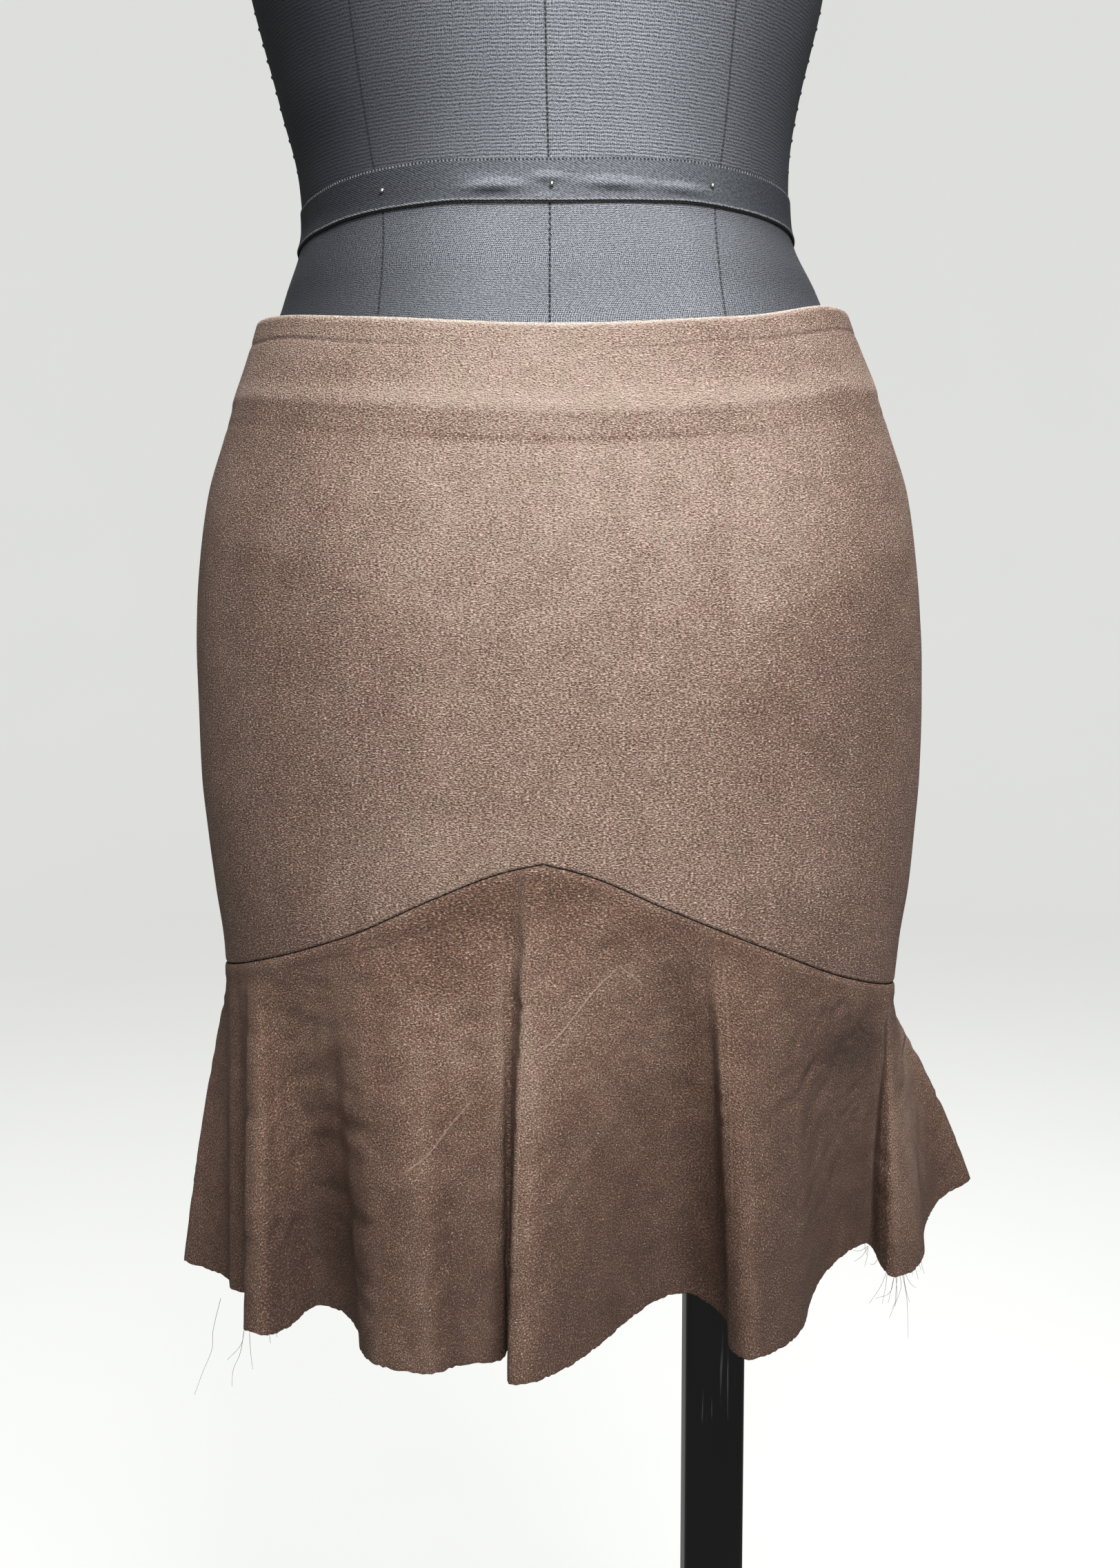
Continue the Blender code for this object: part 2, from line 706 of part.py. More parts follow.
def zip_frame():
    """Place of the slider: on the leather at the centre back, tilted with the slope."""
    height = TOP_EDGE[0][1] - SLIDER_DROP
    half = SLIDER_LENGTH / 2.0
    upper = section_point(SKIRT_SECTIONS, BACK, height + half, SKIRT_SQUARENESS)
    lower = section_point(SKIRT_SECTIONS, BACK, height - half, SKIRT_SQUARENESS)
    slope = math.atan2(lower[1] - upper[1], upper[2] - lower[2])
    middle = (upper + lower) / 2.0
    place = Matrix.Translation(Vector((middle[0], middle[1], middle[2])))
    return place @ Matrix.Rotation(slope, 4, "X")


def build_zip(collection, guides):
    """A slider with its bail, and a pull tab that swings up about the bar in the bail."""
    metal = material("zip metal", ZIP_METAL, 0.35, metallic=1.0)
    frame = zip_frame()
    face = CLEAR + SLIDER_THICK

    slider = block(
        "zip_slider",
        (SLIDER_WIDTH, SLIDER_THICK, SLIDER_LENGTH),
        (0.0, 0.0, 0.0),
        collection,
        metal,
        bevel=0.0005,
    )
    slider.matrix_world = frame @ Matrix.Translation((0.0, CLEAR + SLIDER_THICK / 2.0, 0.0))

    bail = bail_mesh(face)
    bail.matrix_world = frame
    guide(bail, guides)
    cut(slider, bail, "UNION")

    axis = Vector((0.0, face + PULL_AXIS_OUT, -PULL_AXIS_DOWN))
    pull_tab(collection, metal, guides, frame, axis)


def bail_mesh(face):
    """The bail: a round wire arch whose two feet end inside the slider."""
    path = bpy.data.curves.new("bail", "CURVE")
    path.dimensions = "3D"
    path.bevel_depth = BAIL_RADIUS
    path.bevel_resolution = 2
    path.use_fill_caps = True
    line = path.splines.new("POLY")
    foot = face - 0.0008
    crown = face + BAIL_REACH
    bend = 0.0012
    points = [(foot, -BAIL_HALF)]
    for step in range(4):
        angle = math.radians(30.0 * step)
        points.append(
            (
                crown - bend + bend * math.sin(angle),
                -BAIL_HALF + bend - bend * math.cos(angle),
            )
        )
    points += [(out, -along) for out, along in reversed(points)]
    line.points.add(len(points) - 1)
    for point, (out, along) in zip(line.points, points):
        point.co = (0.0, out, along, 1.0)
    return mesh_of_curve("bail", path)


def mesh_of_curve(name, path):
    """A curve made into a mesh with its caps welded."""
    temporary = bpy.data.objects.new(name + "_path", path)
    bpy.context.scene.collection.objects.link(temporary)
    bpy.context.view_layer.update()
    evaluated = temporary.evaluated_get(bpy.context.evaluated_depsgraph_get())
    mesh = bpy.data.meshes.new_from_object(evaluated)
    bpy.data.objects.remove(temporary, do_unlink=True)
    shape = bmesh.new()
    shape.from_mesh(mesh)
    bmesh.ops.remove_doubles(shape, verts=shape.verts, dist=0.000001)
    bmesh.ops.recalc_face_normals(shape, faces=shape.faces)
    shape.to_mesh(mesh)
    shape.free()
    made = bpy.data.objects.new(name, mesh)
    bpy.context.scene.collection.objects.link(made)
    return made


def pull_tab(collection, metal, guides, frame, axis):
    """A flat tab with an eye, whose origin is on its swing axis."""
    half_width = PULL_EYE_WIDTH / 2.0 + PULL_ARM
    mesh = bpy.data.meshes.new("zip_pull")
    shape = bmesh.new()
    outline = [(-half_width, PULL_THICK / 2.0)]
    outline += [(-half_width * across, -PULL_LENGTH * down) for across, down in PULL_OUTLINE]
    outline += [(-across, down) for across, down in reversed(outline)]
    verts = [shape.verts.new((across, -PULL_THICK / 2.0, down)) for across, down in outline]
    face = shape.faces.new(verts)
    pushed = bmesh.ops.extrude_face_region(shape, geom=[face])
    moved = [item for item in pushed["geom"] if isinstance(item, bmesh.types.BMVert)]
    bmesh.ops.translate(shape, verts=moved, vec=(0.0, PULL_THICK, 0.0))
    bmesh.ops.recalc_face_normals(shape, faces=shape.faces)
    shape.to_mesh(mesh)
    shape.free()
    tab = add_object("zip_pull", mesh, collection, metal)
    eye_top = -PULL_THICK / 2.0
    eye = block(
        "pull_eye",
        (PULL_EYE_WIDTH, PULL_THICK * 3.0, PULL_EYE_LENGTH),
        (0.0, 0.0, eye_top - PULL_EYE_LENGTH / 2.0),
        collection,
        metal,
        bevel=0.0002,
    )
    guide(eye, guides)
    eye.parent = tab
    cut(tab, eye)
    tab.matrix_world = frame @ Matrix.Translation(axis) @ Matrix.Rotation(-PULL_LEAN, 4, "X")


def main():
    clear_scene()
    part = bpy.data.collections.new("skirt_on_dress_form")
    guides = bpy.data.collections.new("guides")
    bpy.context.scene.collection.children.link(part)
    bpy.context.scene.collection.children.link(guides)
    build_skirt(part)
    build_form(part)
    build_stand(part, guides)
    build_zip(part, guides)


main()
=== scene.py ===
"""The look of a flounced leather mini skirt on a limbless dress form with a square pole.

Metres, +Z up. The front of the skirt faces -Y, and +X is the side that is right as seen
from the front. A turn is an angle in degrees about the vertical, 0 at the centre front
and 90 at +X. The file follows the object as it is put together, from the floor up.
"""

import math

import bpy
import numpy as np
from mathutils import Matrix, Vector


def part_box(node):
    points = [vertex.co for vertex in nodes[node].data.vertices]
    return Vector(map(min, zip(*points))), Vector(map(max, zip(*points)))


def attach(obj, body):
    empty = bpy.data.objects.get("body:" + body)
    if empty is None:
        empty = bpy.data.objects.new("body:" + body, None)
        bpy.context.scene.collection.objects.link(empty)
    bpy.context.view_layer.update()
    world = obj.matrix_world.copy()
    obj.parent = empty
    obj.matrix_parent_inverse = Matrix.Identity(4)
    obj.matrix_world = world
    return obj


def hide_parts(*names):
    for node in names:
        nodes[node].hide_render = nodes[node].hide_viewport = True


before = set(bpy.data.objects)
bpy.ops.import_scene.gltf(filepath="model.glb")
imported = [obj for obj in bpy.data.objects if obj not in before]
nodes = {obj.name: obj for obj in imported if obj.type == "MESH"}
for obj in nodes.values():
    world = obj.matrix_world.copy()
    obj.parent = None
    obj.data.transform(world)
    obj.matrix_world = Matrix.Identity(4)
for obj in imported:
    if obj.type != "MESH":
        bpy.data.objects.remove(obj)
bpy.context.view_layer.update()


# Stand: base plate, foot collar, square pole and flange, of steel, bent and welded and then
# stove enamelled gloss black. The tube's drawn corners are round, and it has pale upright
# scuffs where it was carried and knocked.
STAND_PARTS = (
    # name, radius of its corners, radius of its edges
    ("base", 0.035, 0.0018),
    ("pole", 0.0030, 0.0004),
    ("flange", 0.010, 0.0010),
)
COLLAR_CORNER = 0.0050
COLLAR_WALL = 0.0067
ENAMEL = "#0c0c0d"
SCUFFED = "#5d5c5a"


def linear(code):
    """The linear colour of an sRGB hex value."""
    channels = np.array([int(code[start : start + 2], 16) for start in (1, 3, 5)]) / 255.0
    curved = ((channels + 0.055) / 1.055) ** 2.4
    return (*np.where(channels <= 0.04045, channels / 12.92, curved).tolist(), 1.0)


def put(node, inputs):
    """Links a node's inputs to sockets, or sets them to values."""
    sockets = [socket for socket in node.inputs if socket.enabled]
    for name, value in inputs.items():
        socket = sockets[name] if isinstance(name, int) else next(s for s in sockets if s.name == name)
        if isinstance(value, bpy.types.NodeSocket):
            node.id_data.links.new(value, socket)
        else:
            socket.default_value = value


def new_finish(name, **values):
    """A material of one surface shader, with its constant values set on the shader.

    Returns the material, the function that adds a node to it, and the shader.
    """
    made = bpy.data.materials.new(name)
    made.use_nodes = True
    shader = made.node_tree.nodes["Principled BSDF"]
    put(shader, {label.replace("_", " "): value for label, value in values.items()})

    def add(kind, inputs=None, out=None, **settings):
        """A node's output of the name given, or else the first that is in use."""
        node = made.node_tree.nodes.new("ShaderNode" + kind)
        for label, value in settings.items():
            setattr(node, label, value)
        put(node, inputs or {})
        return next(socket for socket in node.outputs if socket.enabled and out in (None, socket.name))

    return made, add, shader


def grained(name, scale, detail, colours, strength, rise, flat=None, **values):
    """A finish of one fine noise, which goes between two colours and is raised.

    Given are the noise's three scales and its detail, the colours, the strength of the bump
    and its rise in metres, and the flat cloth's map, if it doesn't follow the object's space.
    """
    made, add, shader = new_finish(name, **values)
    place = add("UVMap", uv_map=flat) if flat else add("TexCoord", out="Object")
    place = add("VectorMath", {0: place, 1: scale}, operation="MULTIPLY")
    noise = add("TexNoise", {"Vector": place, "Scale": 1.0, "Detail": detail})
    tint = add("Mix", {"Factor": noise, "A": linear(colours[0]), "B": linear(colours[1])}, data_type="RGBA")
    relief = add("Bump", {"Strength": strength, "Distance": rise, "Height": noise})
    put(shader, {"Base Color": tint, "Normal": relief})
    return made


def stacked(*parts):
    """Arrays brought to one shape and stacked along a last axis."""
    return np.stack(np.broadcast_arrays(*parts), axis=-1)


def grid_corners(rows, columns, loop_rows, loop_columns):
    """Row, column and number of the point at the four corners of each quad of a grid.

    Rows run down and columns to the right as seen from outside, so the quads face out.
    """
    row = np.arange(rows if loop_rows else rows - 1)[:, None, None] + np.array([0, 1, 1, 0])
    column = np.arange(columns if loop_columns else columns - 1)[None, :, None] + np.array([0, 0, 1, 1])
    row, column = (part.reshape(-1, 4) for part in np.broadcast_arrays(row, column))
    return row, column, row % rows * columns + column % columns


def build(name, points, faces, finishes, flat=None, finish_index=None, **fields):
    """A smooth mesh piece. flat is the place of each face corner on the flat cloth, in
    metres, and a field is a number or a vector at each point."""
    mesh = bpy.data.meshes.new(name)
    mesh.from_pydata(np.reshape(points, (-1, 3)).tolist(), [], faces)
    mesh.shade_smooth()
    for finish in finishes:
        mesh.materials.append(finish)
    if finish_index is not None:
        mesh.polygons.foreach_set("material_index", finish_index)
    if flat is not None:
        mesh.uv_layers.new(name="flat").data.foreach_set("uv", np.ravel(flat))
    for label, values in fields.items():
        kind, part = ("FLOAT_VECTOR", "vector") if np.shape(values)[-1] == 3 else ("FLOAT", "value")
        mesh.attributes.new(label, kind, "POINT").data.foreach_set(part, np.ravel(values))
    piece = bpy.data.objects.new(name, mesh)
    bpy.context.scene.collection.objects.link(piece)
    return piece


def round_cornered(sides, corner, steps=8):
    """Points round a rectangle from above: a quarter circle about each corner's centre."""
    angle = np.radians(np.linspace(0.0, 90.0, steps + 1))
    arcs = []
    for quarter, corner_at in enumerate(((1, 1), (-1, 1), (-1, -1), (1, -1))):
        turned = angle + quarter * math.pi / 2.0
        centre = np.array(corner_at) * (sides / 2.0 - corner)
        arcs.append(centre + corner * stacked(np.cos(turned), np.sin(turned)))
    return np.concatenate(arcs)


def carried(name, low, high, corner, profile, finish, hollow=False):
    """A profile carried round a box's outline with round corners.

    Each place of the profile is an inset from the sides and a height, from the top down
    the outside. A hollow piece's profile comes back up its inside; a solid one is capped.
    """
    rings = []
    for inset, height in profile:
        ring = round_cornered((high - low)[:2] - 2.0 * inset, max(corner - inset, 0.0002))
        rings.append(np.column_stack([ring + ((low + high) / 2.0)[:2], np.full(len(ring), height)]))
    points = np.array(rings)
    rows, columns = points.shape[:2]
    faces = grid_corners(rows, columns, hollow, True)[2].tolist()
    if not hollow:
        faces += [list(range(columns)), list(range(rows * columns - 1, (rows - 1) * columns - 1, -1))]
    piece = build(name, points, faces, [finish])
    piece.data.set_sharp_from_angle(angle=math.radians(50.0))
    return piece


def rounded_edge(top, low, radius, steps=4):
    """Inset and height down the side of a plate with both edges rounded to a radius."""
    angle = np.radians(np.linspace(90.0, 0.0, steps + 1))
    upper = np.column_stack([radius * (1.0 - np.cos(angle)), top - radius * (1.0 - np.sin(angle))])
    lower = np.column_stack([upper[::-1, 0], top + low - upper[::-1, 1]])
    return np.concatenate([upper, lower])


# Stoved gloss enamel: nearly black, with sharp highlights, dull and grey where scuffed
enamel, add, shader = new_finish("stove_enamel_gloss_black", IOR=1.5)
place = add("TexCoord", out="Object")
drawn = add("VectorMath", {0: place, 1: (600.0, 600.0, 14.0)}, operation="MULTIPLY")
streaks = add("TexNoise", {"Vector": drawn, "Scale": 1.0, "Detail": 3.0})
patches = add("TexNoise", {"Vector": place, "Scale": 22.0, "Detail": 2.0})
knocked = add("MapRange", {"Value": patches, "From Min": 0.50, "From Max": 0.62})
scuff = add("MapRange", {"Value": streaks, "From Min": 0.60, "From Max": 0.70})
worn = add("Math", {0: knocked, 1: scuff}, operation="MULTIPLY")
tint = add("Mix", {"Factor": worn, "A": linear(ENAMEL), "B": linear(SCUFFED)}, data_type="RGBA")
gloss = add("MapRange", {"Value": worn, "To Min": 0.16, "To Max": 0.55})
ripple = add("TexNoise", {"Vector": place, "Scale": 160.0, "Detail": 1.0})
skin = add("Bump", {"Strength": 0.05, "Distance": 0.001, "Height": ripple})
put(shader, {"Base Color": tint, "Roughness": gloss, "Normal": skin})

for label, corner, edge in STAND_PARTS:
    low, high = (np.array(end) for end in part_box(f"stand_{label}"))
    piece = carried(f"{label}_piece", low, high, corner, rounded_edge(high[2], low[2], edge), enamel)
    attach(piece, "root")
    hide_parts(f"stand_{label}")

low, high = (np.array(end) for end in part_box("stand_collar"))
inside = [(COLLAR_WALL, low[2]), (COLLAR_WALL, high[2])]
profile = [*rounded_edge(high[2], low[2], 0.0010), *inside]
piece = carried("collar_piece", low, high, COLLAR_CORNER, profile, enamel, hollow=True)
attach(piece, "root")
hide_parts("stand_collar")


# Hip board and neck cap: plywood sawn to the form's outline, and a turned beech cap, both
# painted matt black by brush, screwed and dowelled to the torso.
CAP_RIM = 0.0045

# Brushed matt paint: dark and even, with a faint drag of the bristles
BOARD_BRISTLES = (25.0, 700.0, 700.0)
BOARD_TINTS = ("#151516", "#262627")
board_paint = grained(
    "matt_black_painted_wood", BOARD_BRISTLES, 2.0, BOARD_TINTS, 0.2, 0.0005, Roughness=0.55
)
nodes["form_hip_board"].data.materials[0] = board_paint

low, high = (np.array(end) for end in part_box("form_neck_cap"))
cap_radius = (high[0] - low[0]) / 2.0
crown = [(cap_radius - 0.0004, high[2]), (cap_radius * 0.5, high[2] - 0.0003)]
profile = [*crown, *rounded_edge(high[2], low[2], CAP_RIM, steps=8)]
neck_cap = carried("neck_cap_piece", low, high, cap_radius, profile, board_paint)
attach(neck_cap, "root")
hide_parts("form_neck_cap")


# Linen cover of the dress form: charcoal linen cut in long panels, sewn at the centre front
# and back, the princess lines and the sides, and drawn taut over a papier-mache torso.
COVER_THICK = 0.0010
COVER_COLUMNS = 288
COVER_ROW = 0.004
# Each goes from painted shade to painted highlight
LINEN_THREADS = ("#2a2f3a", "#b8bcc4")
LINEN_GAPS = ("#040507", "#25282d")
# Painted light round the form, by turn: a painted highlight in front, less behind, and painted shade at the
# sides
PAINTED_LIGHT_TURNS = (-180, -120, -90, -62, -42, -22, 0, 18, 38, 60, 90, 120, 180)
PAINTED_LIGHT_SHARES = (0.50, 0.25, 0.00, 0.03, 0.24, 0.66, 1.00, 1.00, 0.62, 0.18, 0.02, 0.25, 0.50)
RIB_PITCH = 1.55
WEAVE_PITCH = 0.85
SEAM_BAND = 0.012
# Seams as paths of x and height, in millimetres
FRONT_SEAM = (
    (-10.8, 1500), (-10.8, 1250), (-6.4, 1106.5), (-5.6, 1065.7), (-4.4, 1022.6), (-4.4, 974),
    (-2, 860), (0, 655),
)
LEFT_PRINCESS = (
    (-62, 1400), (-112, 1330), (-104, 1215), (-91.3, 1113.2), (-87.7, 1083), (-82.3, 1047),
    (-77.5, 1023.4), (-79.5, 977), (-92, 860), (-86, 655),
)
RIGHT_PRINCESS = (
    (40, 1400), (90, 1330), (84, 1215), (76.5, 1114.6), (72.2, 1058.2), (68, 1026.9), (72.3, 976.8),
    (88, 860), (84, 655),
)


def ramp(value, start, end):
    """0 up to the start, 1 from the end on, and straight between them. It may fall."""
    return np.clip((value - start) / (end - start), 0.0, 1.0)


def hill(distance, half_width):
    """A soft hill: 1 in the middle, and about a third at its half width."""
    return np.exp(-((distance / half_width) ** 2))


def through(places, values, at):
    """A cubic curve through a table's values that does not overshoot between them."""
    places = np.asarray(places, float)
    values = np.asarray(values, float)
    at = np.asarray(at, float)
    extra = (1,) * (values.ndim - 1)
    steps = np.diff(places)
    rises = np.diff(values, axis=0) / steps.reshape(-1, *extra)
    same_way = rises[:-1] * rises[1:] > 0.0
    safe = np.where(same_way, rises[:-1] + rises[1:], 1.0)
    inner = np.where(same_way, 2.0 * rises[:-1] * rises[1:] / safe, 0.0)
    slopes = np.concatenate([rises[:1], inner, rises[-1:]])
    at = np.clip(at, places[0], places[-1])
    left = np.clip(np.searchsorted(places, at, side="right") - 1, 0, len(steps) - 1)
    width = np.reshape(steps[left], at.shape + extra)
    share = np.reshape(at - places[left], at.shape + extra) / width
    back = 1.0 - share
    return (
        values[left] * (1.0 + 2.0 * share) * back**2
        + slopes[left] * width * share * back**2
        + values[left + 1] * (3.0 - 2.0 * share) * share**2
        - slopes[left + 1] * width * back * share**2
    )


def from_table(table, column, at):
    """A column of a table, as a smooth curve over the table's first column."""
    rows = np.array(table, float)
    return through(rows[:, 0], rows[:, column], at)


def rounded(places, shares, loop=False):
    """The round curve through places: in each stretch, Barry and Goldman's pyramid of
    straight mixes between four places, with knots at the roots of their distances.

    Returns stretches x shares x axes.
    """
    places = np.asarray(places, float)
    if loop:
        four = np.stack([np.roll(places, shift, axis=0) for shift in (1, 0, -1, -2)])
    else:
        ends = (2.0 * places[:1] - places[1:2], places, 2.0 * places[-1:] - places[-2:-1])
        padded = np.concatenate(ends)
        count = len(places) - 1
        four = np.stack([padded[shift : shift + count] for shift in range(4)])
    lengths = np.linalg.norm(np.diff(four, axis=0), axis=2) ** 0.5
    knots = np.concatenate([np.zeros((1, lengths.shape[1])), np.cumsum(lengths, axis=0)])
    knots = knots[:, :, None, None]
    at = knots[1] + np.asarray(shares)[None, :, None] * (knots[2] - knots[1])
    four = four[:, :, None, :]

    def mix(low, high, first, last):
        span = knots[last] - knots[first]
        return (knots[last] - at) / span * low + (at - knots[first]) / span * high

    one, two, three = (mix(four[i], four[i + 1], i, i + 1) for i in range(3))
    return mix(mix(one, two, 0, 2), mix(two, three, 1, 3), 1, 2)


def near(points, path, front):
    """Signed distance in the X-Z plane from each point to a round curve through a path in
    millimetres, and the share of the path there, for points on the front or on the back."""
    bends = rounded(path, np.arange(6) / 6.0).reshape(-1, 2)
    curve = np.vstack([bends, path[-1]]) / 1000.0
    start, run = curve[:-1], np.diff(curve, axis=0)
    spots = points.reshape(-1, 3)
    distance = np.full(len(spots), 1.0)
    along = np.zeros(len(spots))
    reach = 0.02
    low, high = curve.min(axis=0) - reach, curve.max(axis=0) + reach
    flat = spots[:, [0, 2]]
    close = np.flatnonzero(((flat > low) & (flat < high)).all(axis=1) & ((spots[:, 1] < 0.0) == front))
    if len(close):
        off = flat[close][:, None] - start
        share = np.clip((off * run).sum(axis=2) / (run**2).sum(axis=1), 0.0, 1.0)
        off = off - share[..., None] * run
        length = np.hypot(off[..., 0], off[..., 1])
        best = length.argmin(axis=1)
        pick = (np.arange(len(close)), best)
        side = np.where(run[best, 0] * off[pick][:, 1] - run[best, 1] * off[pick][:, 0] < 0.0, -1.0, 1.0)
        distance[close] = length[pick] * side
        along[close] = (best + share[pick]) / len(run)
    return distance.reshape(points.shape[:-1]), along.reshape(points.shape[:-1])


def encoded(distance, strength, band):
    """A line field: places of thin lines between a coarse grid's points, as vectors.

    The signed distance to the line, up to a band, is kept as the cosine and sine of an
    angle, which join up behind the band. The third number is the line's strength there.
    """
    angle = np.clip(distance / band, -1.0, 1.0) * math.pi
    return stacked(np.cos(angle), np.sin(angle), strength)


def line_field(points, lines, band):
    """The line field of many lines: at each point, that of the nearest one."""
    nearest = np.full(points.shape[:-1], band)
    strength = np.zeros(points.shape[:-1])
    for path, front, weight in lines:
        distance, along = near(points, path, front)
        closer = np.abs(distance) < np.abs(nearest)
        nearest = np.where(closer, distance, nearest)
        taper = ramp(np.minimum(along, 1.0 - along), 0.0, 0.125)
        strength = np.where(closer, weight * taper, strength)
    return encoded(nearest, strength, band)


def line_mark(add, label, band, full, gone):
    """How strongly a line field's nearest line shows: in full up to a distance from it, and
    no more from another distance on, both in millimetres."""
    stored = add("Attribute", attribute_name=label, out="Vector")
    cosine, sine, strength = add("SeparateXYZ", {0: stored}).node.outputs
    angle = add("Math", {0: sine, 1: cosine}, operation="ARCTAN2")
    size = add("Math", {0: angle}, operation="ABSOLUTE")
    distance = add("Math", {0: size, 1: band * 1000.0 / math.pi}, operation="MULTIPLY")
    mark = add(
        "MapRange",
        {"Value": distance, "From Min": full, "From Max": gone, "To Min": 1.0, "To Max": 0.0},
        interpolation_type="SMOOTHSTEP",
    )
    return add("Math", {0: mark, 1: strength}, operation="MULTIPLY")


def outward_normals(wall, loop):
    """Unit normals of a grid of points, from its steps down and across."""
    across = np.roll(wall, -1, axis=1) - np.roll(wall, 1, axis=1) if loop else np.gradient(wall, axis=1)
    normal = np.cross(np.gradient(wall, axis=0), across)
    return normal / np.linalg.norm(normal, axis=-1, keepdims=True)


def shell(name, wall, thick, flat, finishes, loop=False, bulge=0.35, **fields):
    """Cloth as one closed mesh: the outer wall, a lower rim, the inner wall at the cloth's
    thickness along the normals, and an upper rim. Open sides are closed by a strip.

    The finishes are those of the outer wall and the rims, and of the inner wall.
    """
    rows, columns = wall.shape[:2]
    thick = np.broadcast_to(np.asarray(thick, float), wall.shape[:2])[..., None]
    inner = wall - outward_normals(wall, loop) * thick
    rims = []
    for edge, neighbour in ((-1, -2), (0, 1)):
        onward = wall[edge] - wall[neighbour]
        onward = onward / np.linalg.norm(onward, axis=-1, keepdims=True)
        rims.append((wall[edge] + inner[edge]) / 2.0 + onward * thick[edge] * bulge)
    points = np.concatenate([wall, rims[0][None], inner[::-1], rims[1][None]])
    order = np.r_[np.arange(rows), rows - 1, np.arange(rows)[::-1], 0, 0]
    all_rows = len(points)
    row, column, vertex = grid_corners(all_rows, columns, True, loop)
    faces = vertex.tolist()
    corner_flat = flat[order[row], column].reshape(-1, 2)
    finish_index = ((row.max(axis=1) <= 2 * rows) & (row.min(axis=1) > rows)).astype(int)
    if not loop:
        outer_row = np.arange(rows - 1)
        inner_row = 2 * rows - outer_row
        quads = np.stack([outer_row, inner_row, inner_row - 1, outer_row + 1], axis=1)
        tips = np.array([[rows - 1, rows + 1, rows], [0, all_rows - 1, 2 * rows]])
        for side, way in ((0, 1), (columns - 1, -1)):
            for group in (quads[:, ::way], tips[:, ::way]):
                faces += (group * columns + side).tolist()
                corner_flat = np.concatenate([corner_flat, flat[order[group], side].reshape(-1, 2)])
                finish_index = np.concatenate([finish_index, np.zeros(len(group), int)])
    fields = {label: np.asarray(values)[order[:all_rows]] for label, values in fields.items()}
    return build(name, points, faces, finishes, corner_flat, finish_index, **fields)


def cut_size(wall, loop=False):
    """The longest row, the longest column and the area of a wall."""
    across = np.diff(wall, axis=1, append=wall[:, :1]) if loop else np.diff(wall, axis=1)
    down = np.diff(wall, axis=0)
    count = across.shape[1]
    area = np.linalg.norm(np.cross(across[:-1], down[:, :count]), axis=-1).sum()
    width = np.linalg.norm(across, axis=-1).sum(axis=1).max()
    length = np.linalg.norm(down, axis=-1).sum(axis=0).max()
    return (float(width), float(length)), float(area)


def arc_across(wall, row, loop=False):
    """Length along one row of a wall from its first column to each column, and round."""
    line = wall[row]
    if loop:
        line = np.concatenate([line, line[:1]])
    steps = np.linalg.norm(np.diff(line, axis=0), axis=-1)
    return np.concatenate([[0.0], np.cumsum(steps)])


torso_mesh = nodes["form_torso"].data
torso_points = np.empty(len(torso_mesh.vertices) * 3)
torso_mesh.vertices.foreach_get("co", torso_points)
torso_points = np.unique(torso_points.reshape(-1, 3).round(5), axis=0)
ring_heights = np.unique(torso_points[:, 2])
rings = []
for height in ring_heights:
    ring = torso_points[torso_points[:, 2] == height][:, :2]
    off = ring - (ring.min(axis=0) + ring.max(axis=0)) / 2.0
    rings.append(ring[np.argsort(np.arctan2(off[:, 0], -off[:, 1]))])
# More columns, as the sum of the same waves round each ring
waves = np.fft.rfft(np.array(rings), axis=1)
finer = np.fft.irfft(waves, n=COVER_COLUMNS, axis=1) * COVER_COLUMNS / len(rings[0])
cover_heights = np.linspace(ring_heights[-1], ring_heights[0], round(np.ptp(ring_heights) / COVER_ROW) + 1)
level = through(ring_heights, finer, cover_heights)
torso_wall = stacked(level[..., 0], level[..., 1], cover_heights[:, None])
# The lower edge is turned under the torso
turned_under = torso_wall[-1] * np.array([0.93, 0.93, 1.0]) + np.array([0.0, 0.0, 0.0002])
cover_wall = np.concatenate([torso_wall, turned_under[None]])
around = arc_across(cover_wall, int(np.argmin(np.abs(cover_heights - 1.0))), loop=True)
around -= around[COVER_COLUMNS // 2]
cover_flat = stacked(around, cover_wall[:, :1, 2])
form_seams = [
    (path, front, strength)
    for front in (True, False)
    for path, strength in ((FRONT_SEAM, 1.0), (LEFT_PRINCESS, 0.8), (RIGHT_PRINCESS, 0.8))
]


def rubbed_front(wall):
    """Painted light on the cloth, from 0 to 1, by the turn round the form: a painted highlight in front,
    more below the waist, less behind, and painted shade at the sides.
    """
    turn = np.degrees(np.arctan2(wall[..., 0], -wall[..., 1]))
    below = ramp(wall[..., 2], 1.03, 1.02)
    share = through(PAINTED_LIGHT_TURNS, PAINTED_LIGHT_SHARES, turn)
    return share * (0.86 + 0.36 * below) + 0.10 * below * (wall[..., 1] < 0.0)


def flat_mm(add):
    """The place on the flat cloth, in millimetres."""
    return add("VectorMath", {0: add("UVMap", uv_map="flat"), "Scale": 1000.0}, operation="SCALE")


def rubbed_cloth(add, lit, gaps, threads):
    """The painted light on the cloth, and its colour between its gaps and its threads, each painted from
    shade to highlight.
    """
    rubbed = add("Attribute", attribute_name="rubbed", out="Fac")
    tones = [
        add("Mix", {"Factor": rubbed, "A": linear(fresh), "B": linear(worn)}, data_type="RGBA")
        for fresh, worn in (gaps, threads)
    ]
    return rubbed, add("Mix", {"Factor": lit, "A": tones[0], "B": tones[1]}, data_type="RGBA")
